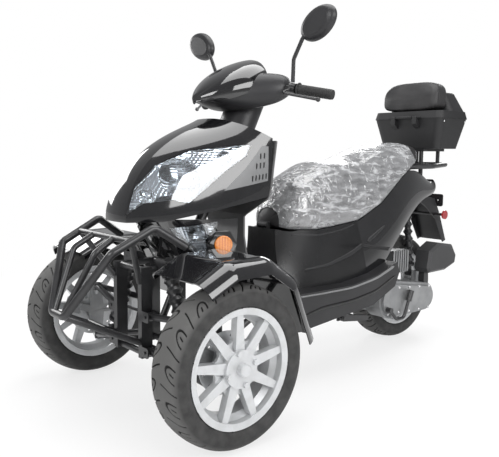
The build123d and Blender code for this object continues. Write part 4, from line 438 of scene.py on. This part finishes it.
# Tyres, in metres. A profile of (lateral, radius) round the carcass is swept about the axle. Grooves lower
# the crown: each pitch has a line that sweeps from the middle to the shoulder, and a half ellipse that opens
# to the shoulder round a dash
tyre = {
    "radius": 0.243,
    "pitches": 15,
    "grooveDepth": 0.0045,
    "grooveHalf": 0.0021,
    "sweepShare": 0.3,              # how much of a pitch a line leans by at the shoulder
    "shoulder": 0.056,
    "lineFrom": (0.003, 0.007),
    "lineTo": (0.057, 0.060),
    "loopReach": 0.034,
    "loopHalf": 0.019,
    "dashFrom": (0.037, 0.040),
    "dashTo": (0.050, 0.053),
    "liner": (0.0510, 0.1662),      # half width and radius of the hidden inner face
    "rows": 104,
    "columns": 900,
    "crownRadius": 0.224,
    "wallShare": 0.6,               # rows on the walls, as a share of those on the crown
    "halfProfile": [
        (-0.0514, 0.1792), (-0.0562, 0.1794), (-0.0604, 0.1840), (-0.0642, 0.1920),
        (-0.0659, 0.2020), (-0.0650, 0.2160), (-0.0610, 0.2260), (-0.0560, 0.2322),
        (-0.0480, 0.2362), (-0.0400, 0.2390), (-0.0200, 0.2420), (0.0, 0.2430),
    ],
}
carcass = np.array(tyre["halfProfile"])
carcass = np.concatenate([carcass, carcass[-2::-1] * (-1.0, 1.0)])


# 1 within a groove's half width of its centre line, 0 outside, with soft edges
def grooveBand(away, inner=0.7, outer=1.3):
    return 1.0 - smoothStep(away, tyre["grooveHalf"] * inner, tyre["grooveHalf"] * outer)


def tyreSurface(hub, lead):
    runs = np.linalg.norm(np.diff(carcass, axis=0), axis=1)
    onCrown = (carcass[1:, 1] + carcass[:-1, 1]) / 2.0 > tyre["crownRadius"]
    reach = np.concatenate([[0.0], np.cumsum(runs * np.where(onCrown, 1.0, tyre["wallShare"]))])
    step = np.linspace(0.0, reach[-1], tyre["rows"])
    lateral = np.interp(step, reach, carcass[:, 0])
    radius = np.interp(step, reach, carcass[:, 1])
    for lap in range(3):
        radius[1:-1] = np.convolve(radius, (0.25, 0.5, 0.25), "valid")
        lateral[1:-1] = np.convolve(lateral, (0.25, 0.5, 0.25), "valid")
    turn = np.linspace(0.0, 2.0 * np.pi, tyre["columns"], endpoint=False)
    x = lateral[:, None]
    side = np.abs(x)
    pitch = 2.0 * np.pi / tyre["pitches"]
    arc = tyre["radius"] * pitch
    leaning = lead * tyre["sweepShare"] * (side / 0.06) ** 1.5
    phase = turn[None, :] / pitch - np.where(x > 0.0, 0.5, 0.0) - leaning
    line = grooveBand(np.abs((phase + 0.5) % 1.0 - 0.5) * arc)
    line = line * smoothStep(side, *tyre["lineFrom"]) * (1.0 - smoothStep(side, *tyre["lineTo"]))
    centre = np.abs(phase % 1.0 - 0.5) * arc
    loop = np.hypot((tyre["shoulder"] - side) / tyre["loopReach"], centre / tyre["loopHalf"])
    bend = grooveBand(np.abs(loop - 1.0) * tyre["loopHalf"]) * (side < tyre["shoulder"])
    dash = grooveBand(centre, 0.8, 1.4)
    dash = dash * smoothStep(side, *tyre["dashFrom"]) * (1.0 - smoothStep(side, *tyre["dashTo"]))
    sunk = np.maximum(np.maximum(line, bend), dash)
    lowered = radius[:, None] - tyre["grooveDepth"] * sunk
    width, inside = tyre["liner"]
    face = np.outer((width, 0.0, -width), np.ones(len(turn)))
    x = np.concatenate([np.broadcast_to(x, lowered.shape), face])
    ring = np.concatenate([lowered, np.full((3, len(turn)), inside)])
    points = np.stack([x + hub[0], ring * np.cos(turn) + hub[1], ring * np.sin(turn) + hub[2]], axis=-1)
    faces = gridFaces(len(ring), len(turn), wrapRows=True, wrapColumns=True)
    return points.reshape(-1, 3), faces, np.append(sunk, np.zeros(3 * len(turn)))


wheels = [
    # piece, node, body, hub, which way the lines lean
    ("treadLeft", "front_tyre_left", "left_front_wheel", (0.440, -0.665, 0.243), 1.0),
    ("treadRight", "front_tyre_right", "right_front_wheel", (-0.440, -0.665, 0.243), 1.0),
    ("treadRear", "rear_tyre", "rear_wheel", (0.0, 0.665, 0.243), -1.0),
]
for name, node, body, hub, lead in wheels:
    finishes[name] = makeRubber(name + "Rubber", hub)
    points, faces, sunk = tyreSurface(hub, lead)
    carcassPiece = makePiece(name, points, faces, name, body)
    # the groove share is kept on the mesh for the rubber's painted shade in the grooves
    carcassPiece.data.attributes.new("groove", "FLOAT", "POINT").data.foreach_set("value", sunk)
    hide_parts(node)
print("tyres with tread")

# Seat. Sections along the trike in the CAD's own numbers: station behind the front axle, half widths at the
# top, middle and foot, top height, foot height, crown of the top; all millimetres
saddle = {
    "sections": np.array([
        (528.0, 60.0, 70.0, 56.0, 640.0, 540.0, 26.0),
        (610.0, 92.0, 124.0, 104.0, 760.0, 540.0, 30.0),
        (760.0, 108.0, 148.0, 130.0, 826.0, 540.0, 26.0),
        (930.0, 112.0, 154.0, 134.0, 834.0, 540.0, 22.0),
        (1090.0, 112.0, 156.0, 138.0, 890.0, 600.0, 20.0),
        (1290.0, 104.0, 150.0, 130.0, 913.0, 740.0, 20.0),
        (1392.0, 78.0, 116.0, 110.0, 904.0, 760.0, 18.0),
    ]),
    # the seat's lower edge: station, height
    "line": np.array([
        (500.0, 570.0), (680.0, 561.0), (903.0, 586.0), (1040.0, 650.0),
        (1178.0, 756.0), (1352.0, 866.0), (1420.0, 900.0),
    ]),
    "front": 528.0,
    "back": 1392.0,
    "endRound": 46.0,
    "endPower": 2.4,
    "axle": 665.0,
    "rows": 240,
    "columns": 150,
    "seamStations": (1004.0, 1318.0),
    # where the film's creases fan out from: station, height, creases a turn, phase
    "fans": ((705.0, 800.0, 17, 0.3), (1015.0, 850.0, 13, 1.7), (1290.0, 905.0, 11, 0.9)),
    "fanReach": 210.0,
}


# rows run along the seat, columns round its section: foot, side, over the top, side, foot; each side is the
# parabola through the section's three half widths, the top a parabola of the crown, corners then averaged
def saddleGrid(lift=0.0, creases=0.0, floorGap=0.6):
    parts = saddle["sections"]
    rows = saddle["rows"]
    columns = saddle["columns"]
    front, back = saddle["front"], saddle["back"]
    ease = np.linspace(0.0, 1.0, rows)
    station = front + (back - front) * (ease - 0.07 * np.sin(2.0 * np.pi * ease) / 1.2)
    value = [np.interp(station, parts[:, 0], parts[:, i]) for i in range(1, 7)]
    kernel = np.hanning(27)
    kernel = kernel / kernel.sum()
    value = [np.convolve(np.pad(v, 13, mode="edge"), kernel, "valid") for v in value]
    top, middle, foot, high, low, crown = [v[:, None] for v in value]
    seatLine = np.interp(station, saddle["line"][:, 0], saddle["line"][:, 1])[:, None] + floorGap
    side = int(columns * 0.3)
    down = np.linspace(1.0, 0.0, side)[None, :]
    share = down * np.clip((high - crown - seatLine) / (high - crown - low), 0.05, 1.0)
    halfWidth = top * (2.0 * share - 1.0) * (share - 1.0) + middle * 4.0 * share * (1.0 - share)
    halfWidth = halfWidth + foot * share * (2.0 * share - 1.0)
    height = (high - crown) * (1.0 - share) + low * share
    over = np.linspace(-1.0, 1.0, columns - 2 * side + 2)[None, 1:-1]
    x = np.concatenate([-halfWidth, top * over, halfWidth[:, ::-1]], axis=1)
    z = np.concatenate([height, high - crown * over * over, height[:, ::-1]], axis=1)
    for lap in range(14):
        x[:, 1:-1] = x[:, 1:-1] * 0.5 + (x[:, :-2] + x[:, 2:]) * 0.25
        z[:, 1:-1] = z[:, 1:-1] * 0.5 + (z[:, :-2] + z[:, 2:]) * 0.25
    # ends round off: the section shrinks towards its middle as a superellipse
    reach = np.minimum(station - front, back - station)[:, None]
    inward = np.clip(reach / saddle["endRound"], 0.0, 1.0)
    cap = (1.0 - (1.0 - inward) ** saddle["endPower"]) ** (1.0 / saddle["endPower"])
    centre = seatLine + (high - seatLine) * 0.35
    x = x * np.maximum(cap, 0.004)
    z = np.maximum(centre + (z - centre) * cap, seatLine)
    y = np.broadcast_to(station[:, None], x.shape).copy()
    # outward directions: square to each section's own line and to the first row's run
    whole = np.stack([x, y, z], -1)
    out = np.cross(np.gradient(whole, axis=1), np.gradient(whole, axis=0)[0])
    out = out / np.maximum(np.linalg.norm(out, axis=-1, keepdims=True), 1e-9)
    if out[rows // 2, columns // 2, 2] < 0.0:
        out = -out
    edge = smoothStep(z - seatLine, 0.0, 16.0)
    # seams: narrow grooves, with the cover swelling and puckering beside them
    swell = np.zeros_like(x)
    for seam in saddle["seamStations"]:
        away = y - np.abs(x) * 0.20 - seam
        swell = swell - 4.0 * np.exp(-(away / 3.2) ** 2) + 2.2 * np.exp(-(away / 22.0) ** 2)
        swell = swell + 0.7 * np.sin(x / 4.6) * np.exp(-(away / 15.0) ** 2)
    rim = np.abs(np.abs(x) - top * 0.96 * cap)
    onTop = smoothStep(z - (high - crown), -16.0, -4.0)
    swell = swell - 2.6 * np.exp(-(rim / 3.0) ** 2) * onTop
    sag = 1.2 * np.sin(y / 61.0 + 0.4) * np.sin(x / 47.0 + 1.1)
    shove = swell * (0.3 if creases else 1.0) + sag + lift
    if creases:
        # film: creases fan out from the step, the rider's place and the back, ridged sines of the bearing
        for cy, cz, count, phase in saddle["fans"]:
            dy = y - cy
            dz = (z - cz) * 1.4
            distance = np.sqrt(dy * dy + dz * dz)
            bearing = np.arctan2(dz, dy) * count * 0.5 + 0.8 * np.sin(distance / 33.0 + count)
            ridge = 1.0 - np.abs(np.sin(bearing + phase))
            fading = np.exp(-(distance / saddle["fanReach"]) ** 2) * smoothStep(distance, 12.0, 45.0)
            shove = shove + creases * ridge ** 5 * fading
        wander = y * 0.045 + 1.9 * np.sin(x / 31.0) + 1.3 * np.sin(z / 23.0)
        shove = shove + creases * 0.55 * (1.0 - np.abs(np.sin(wander))) ** 6
        wander = (y * 0.6 + z) * 0.06 + 1.5 * np.sin(x / 19.0 + y / 40.0)
        shove = shove + creases * 0.4 * (1.0 - np.abs(np.sin(wander))) ** 5
    shove = shove * edge * smoothStep(cap, 0.2, 0.9)
    grid = np.stack([x, y, z], -1) + out * shove[..., None]
    grid[..., 1] = grid[..., 1] - saddle["axle"]
    return grid / 1000.0


cushionGrid = saddleGrid()
rows, columns = cushionGrid.shape[:2]
cushion = makePiece("seatCushion", cushionGrid, gridFaces(rows, columns, wrapColumns=True), "vinyl", "seat")
mergeEnds(cushion, 0.0006)
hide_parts("seat")

wrapGrid = saddleGrid(lift=2.2, creases=4.2, floorGap=3.0)[6:-6]
wrap = makePiece("seatWrap", wrapGrid, gridFaces(len(wrapGrid), columns), "film", "seat")
corner = wrapGrid[1:, 1:] - wrapGrid[:-1, :-1]
other = wrapGrid[1:, :-1] - wrapGrid[:-1, 1:]
print("seat and its wrap")

# Backrest pad: a rounded outline, a superellipse flat at its foot, carried forward through shrinking loops
pad = {
    "low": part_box("backrest_pad")[0],
    "high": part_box("backrest_pad")[1],
    "loops": 44,
    "columns": 160,
    "sidePower": 0.55,
    "topPower": 0.72,
    "footPower": 0.32,
    # how far through the loops, size of the loop, how far it is carried
    "loopTable": np.array([
        (0.0, 0.0, 0.0), (0.06, 0.93, 0.0), (0.12, 0.985, 0.03), (0.5, 0.985, 0.55),
        (0.66, 0.955, 0.80), (0.78, 0.86, 0.935), (0.88, 0.62, 0.985), (1.0, 0.0, 1.0),
    ]),
    "lean": 0.030,
    # height, where through the loops, width: the piping and the groove behind it
    "piping": ((0.0030, 0.60, 0.016), (-0.0022, 0.565, 0.014)),
    "crumple": 0.0012,
}
low, high = np.asarray(pad["low"], float), np.asarray(pad["high"], float)
middle = (low + high) / 2.0
half = (high - low) / 2.0
turn = np.linspace(0.0, 2.0 * np.pi, pad["columns"], endpoint=False)
wide, tall = np.cos(turn), np.sin(turn)
outlineX = np.sign(wide) * np.abs(wide) ** pad["sidePower"] * half[0]
outlineZ = np.where(tall > 0.0, np.abs(tall) ** pad["topPower"], -np.abs(tall) ** pad["footPower"]) * half[2]
through = np.linspace(0.0, 1.0, pad["loops"])
scale = np.interp(through, pad["loopTable"][:, 0], pad["loopTable"][:, 1])
back = np.interp(through, pad["loopTable"][:, 0], pad["loopTable"][:, 2])
scale = np.convolve(np.pad(scale, 1, mode="edge"), (0.25, 0.5, 0.25), "valid")
scale[0] = scale[-1] = 0.002
padX = scale[:, None] * outlineX[None, :]
padZ = scale[:, None] * outlineZ[None, :]
lean = pad["lean"] * smoothStep(padZ / half[2], -0.2, 1.1) * back[:, None]
piping = sum(rise * np.exp(-((through - spot) / width) ** 2) for rise, spot, width in pad["piping"])
grow = 1.0 + piping[:, None] / np.maximum(np.hypot(padX, padZ), 0.02) * (scale[:, None] > 0.5)
padY = high[1] - 0.0008 - back[:, None] * (2.0 * half[1] - 0.002) + lean
crumple = np.sin(padX * 46.0 + 1.0) * np.sin(padZ * 58.0) * smoothStep(back[:, None], 0.8, 1.0)
padY = padY + pad["crumple"] * crumple
padGrid = np.stack([middle[0] + padX * grow, padY, middle[2] + padZ * np.minimum(grow, 1.0)], -1)
quads = gridFaces(pad["loops"], pad["columns"], wrapColumns=True)
cushionBack = makePiece("backrestCushion", padGrid, quads, "vinyl", "trunk_lid")
mergeEnds(cushionBack, 0.0006)
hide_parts("backrest_pad")
print("backrest pad")


# frame of a plane: its origin and two directions across it, for small things set on slanted faces
def onPlane(origin, across, up):
    origin, across, up = (np.asarray(v, float) for v in (origin, across, up))
    across = across / np.linalg.norm(across)
    out = np.cross(across, up)
    out = out / np.linalg.norm(out)
    return origin, across, np.cross(out, across), out


# a thin pillow: rings of an ellipse that rise as a dome, the last two tucked under
def makeDome(origin, across, up, halfWidth, halfHeight, rise, rings=10, count=48):
    origin, across, up, out = onPlane(origin, across, up)
    share = np.concatenate([[0.001], np.linspace(0.12, 1.0, rings), [1.0, 0.001]])
    lift = np.concatenate([[1.0], 1.0 - np.linspace(0.12, 1.0, rings) ** 3.0, [-0.25, -0.25]]) * rise
    turn = np.linspace(0.0, 2.0 * np.pi, count, endpoint=False)
    ring = np.cos(turn)[:, None] * halfWidth * across + np.sin(turn)[:, None] * halfHeight * up
    points = origin + share[:, None, None] * ring + lift[:, None, None] * out
    return points.reshape(-1, 3), gridFaces(len(share), count, wrapColumns=True)


# Mirror glasses on the heads' rear faces
glass = {
    "head": (0.326, -0.213, 1.288),
    "turn": 22.0,
    "halfWidth": 0.072,
    "halfHeight": 0.044,
    "standsOff": 0.0132,
    "rise": 0.0008,
}
shapes = []
for hand in (1.0, -1.0):
    tilt = math.radians(glass["turn"])
    across = (-hand * math.cos(tilt), 0.0, -math.sin(tilt))
    up = (hand * math.sin(tilt), 0.0, math.cos(tilt))
    face = (hand * glass["head"][0], glass["head"][1] + glass["standsOff"], glass["head"][2])
    shapes.append(makeDome(face, across, up, glass["halfWidth"], glass["halfHeight"], glass["rise"]))
points, faces = gathered(shapes)
mirrorPiece = makePiece("mirrorGlasses", points, faces, "mirror", "steering")
mergeEnds(mirrorPiece, 0.00002)

# Grips: ribbed rubber sleeves, a sine of the length raised on the barrel, with an end flange and a bar weight
grips = {
    "end": (0.355, -0.167, 1.055),
    "inner": (0.200, -0.215, 1.085),
    "short": 0.034,                 # how far the sleeve ends before the inner point
    "radius": 0.0166,
    "bore": 0.0115,
    "ribs": 19,
    "ribHeight": 0.0011,
    "flange": 0.0055,
    "weight": [(-0.0058, 0.0002), (-0.0056, 0.010), (-0.0035, 0.0145), (0.0008, 0.0150), (0.0014, 0.0002)],
}
shapes = []
weights = []
for hand in (1.0, -1.0):
    start = np.array(grips["end"]) * (hand, 1.0, 1.0)
    way = np.array(grips["inner"]) * (hand, 1.0, 1.0) - start
    run = np.linalg.norm(way) - grips["short"]
    along = np.linspace(0.0, run, 230)
    wave = np.sin(along / run * 2.0 * np.pi * grips["ribs"])
    ribs = grips["ribHeight"] * np.clip(wave * 1.6, -1.0, 1.0)
    flange = grips["flange"] * (1.0 - smoothStep(np.abs(along - run + 0.004), 0.002, 0.004))
    profile = np.stack([along, grips["radius"] + ribs + flange], -1)
    profile = np.concatenate([[(0.0, grips["bore"])], profile, [(run, grips["bore"])]])
    shapes.append(makeTurned(profile, start, way))
    weights.append(makeTurned(grips["weight"], start, way))
points, faces = gathered(shapes)
gripPiece = makePiece("ribbedGrips", points, faces, "grip", "steering")
mergeEnds(gripPiece, 0.00001)
points, faces = gathered(weights)
weightPiece = makePiece("barWeights", points, faces, "bright", "steering")
mergeEnds(weightPiece, 0.00001)
print("mirrors and grips")


# Lamp reflectors. A body side at one height is the circle in plan through nose corner, flank and back;
# the tables are in millimetres: height, nose, nose half width, flank, its half width, back, its half width
lampBodies = {
    "shield": np.array([
        (610.0, -128.0, 66.0, 70.0, 152.0, 348.0, 206.0), (700.0, -123.0, 62.0, 70.0, 152.0, 352.0, 208.0),
        (790.0, -70.0, 52.0, 100.0, 146.0, 362.0, 207.0), (865.0, 8.0, 46.0, 150.0, 140.0, 370.0, 204.0),
        (925.0, 112.0, 42.0, 220.0, 134.0, 376.0, 200.0),
    ]),
    "fairing": np.array([
        (490.6, 60.0, 92.0, 130.0, 152.0, 216.0, 186.0), (560.0, 22.0, 104.0, 110.0, 168.0, 216.0, 202.0),
        (640.0, -14.0, 110.0, 90.0, 172.0, 216.0, 206.0),
    ]),
}
lampCups = {
    # body, start, end, lower edge, upper edge, dishes as (station, height, radius, depth), edge depth
    "headlight": (
        "shield", -112.0, 282.0,
        [(-126, 656), (-70, 690), (10, 700), (62, 690), (190, 790), (268, 840), (290, 880)],
        [(-126, 662), (-90, 748), (-20, 818), (90, 868), (190, 882), (290, 892)],
        [(46.0, 770.0, 62.0, 34.0), (-62.0, 716.0, 24.0, 14.0), (196.0, 838.0, 24.0, 12.0)], 7.0,
    ),
    "lower": (
        "fairing", 12.0, 144.0,
        [(8, 604), (60, 560), (112, 500), (146, 496)],
        [(8, 616), (80, 626), (148, 638)],
        [(90.0, 592.0, 30.0, 12.0)], 7.0,
    ),
}


# a side's half width and outward direction at a station: the circle through three points, whose centre is
# where their bisectors cross
def bodySide(body, station, height):
    table = lampBodies[body]
    row = [np.interp(height, table[:, 0], table[:, i]) for i in range(1, 7)]
    nose, ax, by, bx, cy, cx = row
    ay = nose + 0.12 * ax
    turn = 2.0 * (ax * (by - cy) + bx * (cy - ay) + cx * (ay - by))
    a, b, c = ax * ax + ay * ay, bx * bx + by * by, cx * cx + cy * cy
    ux = (a * (by - cy) + b * (cy - ay) + c * (ay - by)) / turn
    uy = (a * (cx - bx) + b * (ax - cx) + c * (bx - ax)) / turn
    radius = np.hypot(ax - ux, ay - uy)
    way = np.where(ux < ax, 1.0, -1.0)
    x = ux + way * np.sqrt(np.maximum(radius ** 2 - (station - uy) ** 2, 1.0))
    return x, way * (x - ux) / radius, way * (station - uy) / radius


# rows along the lamp, columns from its lower edge to its upper one, sunk along the side's normal into dishes
def lampCup(body, start, end, lower, upper, dishes, edgeDepth):
    lower, upper = np.array(lower, float), np.array(upper, float)
    station = np.linspace(start, end, 150)[:, None]
    share = np.linspace(0.0, 1.0, 70)[None, :]
    foot = np.interp(station, lower[:, 0], lower[:, 1])
    height = foot + (np.interp(station, upper[:, 0], upper[:, 1]) - foot) * share
    station = np.broadcast_to(station, height.shape)
    x, nx, ns = bodySide(body, station, height)
    depth = edgeDepth + 9.0 * smoothStep(np.minimum(share, 1.0 - share), 0.0, 0.16) * np.ones_like(height)
    for cs, cz, radius, sink in dishes:
        away = np.hypot(station - cs, height - cz) / radius
        depth = depth + np.where(away < 1.0, sink * (1.0 - away ** 2) + 2.0, 0.0)
    points = np.stack([x - nx * depth, station - ns * depth - saddle["axle"], height], -1) / 1000.0
    return points.reshape(-1, 3), gridFaces(*height.shape)


# a bulb's profile of (along, radius) in metres, for a dish 40 mm in radius
bulb = np.array([
    (0.0, 0.0001), (0.0, 0.006), (0.004, 0.006), (0.0045, 0.0045),
    (0.014, 0.0045), (0.018, 0.003), (0.0195, 0.0001),
])
shapes = []
for body, start, end, lower, upper, dishes, edgeDepth in lampCups.values():
    cup, quads = lampCup(body, start, end, lower, upper, dishes, edgeDepth)
    shapes.append((cup, quads))
    shapes.append((cup * (-1.0, 1.0, 1.0), quads[:, ::-1]))
    for cs, cz, radius, sink in dishes:
        x, nx, ns = bodySide(body, cs, cz)
        out = np.array((nx, ns, 0.15))
        deep = edgeDepth + 8.0 + sink
        seat = np.array((x - nx * deep, cs - ns * deep - saddle["axle"], cz)) / 1000.0
        for hand in (1.0, -1.0):
            side = np.array((hand, 1.0, 1.0))
            shapes.append(makeTurned(bulb * radius / 40.0, seat * side, out * side, 20))
points, faces = gathered(shapes)
cups = makePiece("lampReflectors", points, faces, "chrome", "chassis")
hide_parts("headlight_bowls")
print("lamp reflectors")


# Fasteners: a domed button head with a round socket, one profile turned about each seat's normal; the
# profile's heights and radii are shares of the head's own
def makeButton(spot, out, radius=0.006, height=0.0035):
    share = np.array([
        (0.0, 0.999), (0.0, 1.0), (0.35, 0.97), (0.72, 0.80), (0.98, 0.46), (0.55, 0.44), (0.5, 0.001),
    ])
    return makeTurned(np.concatenate([[(-0.0005, 0.0001)], share * (height, radius)]), spot, out, 18)


# a row of points between two ends
def alongRow(start, end, count):
    share = np.linspace(0.0, 1.0, count)[:, None]
    return np.asarray(start, float) * (1.0 - share) + np.asarray(end, float) * share


fasteners = {
    # start, end, count, outward direction, radius
    "beltCase": [
        ((0.1985, 0.395, 0.291), (0.1985, 0.690, 0.266), 5, (1.0, 0.0, 0.0), 0.0065),
        ((0.1985, 0.395, 0.178), (0.1985, 0.690, 0.167), 5, (1.0, 0.0, 0.0), 0.0065),
    ],
    "trunkRim": [((0.1885, 0.77, 1.012), (0.1885, 0.94, 1.012), 2, (1.0, 0.0, 0.0), 0.004)],
}
shapes = []
for rowsOf in fasteners.values():
    for start, end, count, out, radius in rowsOf:
        for place in alongRow(start, end, count):
            shapes.append(makeButton(place, out, radius))
points, faces = gathered(shapes)
buttonPiece = makePiece("caseScrews", points, faces, "bright", "chassis")
mergeEnds(buttonPiece, 0.00001)


# a raised strip laid on the sides of a node: points of (station, height, half width) in millimetres, eased
# into a smooth line, with a crowned section across; it is thrown sideways onto the node and thickened
def laidStrip(name, node, line, finish, body, crown=0.0016):
    line = np.array(line, float)
    reach = np.concatenate([[0.0], np.cumsum(np.hypot(*np.diff(line[:, :2], axis=0).T))])
    along = np.linspace(0.0, reach[-1], 160)
    station, height, half = [np.interp(along, reach, line[:, i]) for i in range(3)]
    kernel = np.hanning(33) / np.hanning(33).sum()
    station, height = [
        np.convolve(np.pad(v, 16, mode="reflect", reflect_type="odd"), kernel, "valid")
        for v in (station, height)
    ]
    half = half * np.sqrt(np.clip(np.minimum(along, reach[-1] - along) / 12.0, 0.02, 1.0))
    way = np.stack([np.gradient(station), np.gradient(height)], -1)
    way = way / np.linalg.norm(way, axis=1, keepdims=True)
    share = np.linspace(-1.0, 1.0, 7)[None, :]
    y = (station[:, None] - way[:, 1:] * half[:, None] * share - saddle["axle"]) / 1000.0
    z = (height[:, None] + way[:, :1] * half[:, None] * share) / 1000.0
    shapes = []
    for hand in (1.0, -1.0):
        sheet = np.stack([np.full_like(y, 0.3 * hand), y, z], -1)
        shapes.append((sheet.reshape(-1, 3), gridFaces(*y.shape)[:, ::int(hand)]))
    points, faces = gathered(shapes)
    strip = makePiece(name, points, faces, finish, body)
    throw = strip.modifiers.new("throw", "SHRINKWRAP")
    throw.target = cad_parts[node]
    throw.wrap_method = "PROJECT"
    throw.use_project_x = True
    throw.use_negative_direction = True
    throw.use_positive_direction = True
    throw.offset = 0.0002
    laid = bpy.data.meshes.new_from_object(strip.evaluated_get(bpy.context.evaluated_depsgraph_get()))
    strip.modifiers.remove(throw)
    place = np.empty(len(laid.vertices) * 3)
    laid.vertices.foreach_get("co", place)
    place = place.reshape(-1, 3)
    rise = np.tile(crown * (1.0 - share[0] ** 2), len(place) // 7)
    place[:, 0] = place[:, 0] + np.sign(place[:, 0]) * rise
    strip.data.vertices.foreach_set("co", place.ravel())
    bpy.data.meshes.remove(laid)
    wall = strip.modifiers.new("wall", "SOLIDIFY")
    wall.thickness = 0.0012
    wall.offset = 0.0
    return strip


trims = {
    # name: node, body, finish, line
    "floorEdgeTrim": (
        "footboard", "chassis", "silver",
        [(452, 339, 3.0), (600, 336, 3.0), (780, 336, 3.5), (930, 357, 4.5), (1040, 394, 6.0)],
    ),
    "floorSweepTrim": (
        "footboard", "chassis", "sheen",
        [(450, 252, 4.0), (600, 280, 7.0), (780, 284, 7.0), (920, 302, 7.0), (1046, 352, 5.0)],
    ),
    "baseSweepTrim": (
        "seat_base", "chassis", "satin",
        [(600, 414, 3.0), (718, 424, 6.0), (840, 455, 9.0), (920, 492, 8.0)],
    ),
    "tailSweepTrim": (
        "rear_panels", "chassis", "satin",
        [(940, 500, 8.0), (990, 528, 7.0), (1043, 560, 4.0)],
    ),
    "baseRimTrim": (
        "seat_base", "chassis", "satin",
        [(560, 548, 2.5), (678, 543, 2.5), (800, 556, 2.5), (872, 574, 2.5)],
    ),
}
for name, (node, body, finish, line) in trims.items():
    laidStrip(name, node, line, finish, body)
print("side trims")

# Floor, soft lamps and sky
floorSize = {
    "half": 30.0,
    "shade": 0.86,
    "glow": 0.74,                   # share of plain white in the paper near the trike
    "clear": 1.1,                   # metres from the middle where it starts to turn white
    "white": 2.6,                   # and where it is wholly white
    "mirrored": 0.25,
}
floorCorners = np.array([(-1.0, -1.0, 0.0), (1.0, -1.0, 0.0), (1.0, 1.0, 0.0), (-1.0, 1.0, 0.0)])
floorMesh = bpy.data.meshes.new("studioFloor")
floorMesh.from_pydata((floorCorners * floorSize["half"]).tolist(), [], [(0, 1, 2, 3)])
floorPiece = bpy.data.objects.new("studioFloor", floorMesh)
bpy.context.scene.collection.objects.link(floorPiece)
paper = Finish("studioPaper", Roughness=0.6, Base_Color=(floorSize["shade"],) * 3)
shine = paper.node("ShaderNodeEmission", {}, {"Color": (1.0, 1.0, 1.0, 1.0), "Strength": 1.0})
rays = paper.node("ShaderNodeLightPath", {}, {}, "Is Camera Ray").socket.node
seen = Wire(paper, rays.outputs["Is Camera Ray"])
mirrored = Wire(paper, rays.outputs["Is Glossy Ray"])
through = Wire(paper, rays.outputs["Is Transmission Ray"])
x, y, z = paper.axes()
away = (x * x + y * y).maths("SQRT")
fading = paper.between(away, floorSize["glow"], 1.0, floorSize["clear"], floorSize["white"])
share = (seen + through) * fading + mirrored * floorSize["mirrored"]
matt = Wire(paper, paper.shader.outputs[0])
blend = paper.node("ShaderNodeMixShader", {}, {0: share, 1: matt, 2: shine})
paper.plug(paper.output.inputs["Surface"], blend)
floorMesh.materials.append(paper.material)

sky = bpy.data.worlds.new("studioSky")
bpy.context.scene.world = sky
sky.use_nodes = True
nodes = sky.node_tree.nodes
nodes.clear()
skyOut = nodes.new("ShaderNodeOutputWorld")
white = nodes.new("ShaderNodeBackground")
white.inputs["Color"].default_value = (1.0, 1.0, 1.0, 1.0)
soft = nodes.new("ShaderNodeBackground")
soft.inputs["Color"].default_value = (0.98, 0.985, 1.0, 1.0)
soft.inputs["Strength"].default_value = 0.34
path = nodes.new("ShaderNodeLightPath")
either = nodes.new("ShaderNodeMath")
either.operation = "MAXIMUM"
mix = nodes.new("ShaderNodeMixShader")
link = sky.node_tree.links.new
link(path.outputs["Is Camera Ray"], either.inputs[0])
link(path.outputs["Is Transmission Ray"], either.inputs[1])
link(either.outputs[0], mix.inputs[0])
link(soft.outputs[0], mix.inputs[1])
link(white.outputs[0], mix.inputs[2])
link(mix.outputs[0], skyOut.inputs[0])

lamps = {
    # place, aim, width, height, watts
    "leftBox": ((3.4, -0.2, 1.9), (0.0, 0.0, 0.6), 2.6, 1.6, 74.0),
    "frontBox": ((0.9, -3.6, 2.1), (0.0, -0.4, 0.7), 2.2, 1.4, 62.0),
    "topBox": ((0.2, 0.3, 3.4), (0.0, 0.1, 0.4), 2.8, 2.8, 82.0),
    "backBox": ((-1.6, 3.2, 2.0), (0.0, 0.4, 0.7), 2.4, 1.2, 56.0),
    "rightBox": ((-3.4, -0.8, 1.8), (0.0, 0.0, 0.6), 2.0, 1.4, 48.0),
}
for name, (place, aim, width, height, watts) in lamps.items():
    lamp = bpy.data.lights.new(name, "AREA")
    lamp.shape = "RECTANGLE"
    lamp.size = width
    lamp.size_y = height
    lamp.energy = watts
    holder = bpy.data.objects.new(name, lamp)
    holder.matrix_world = lookingFrom(place, aim)
    bpy.context.scene.collection.objects.link(holder)
print("floor and lamps")
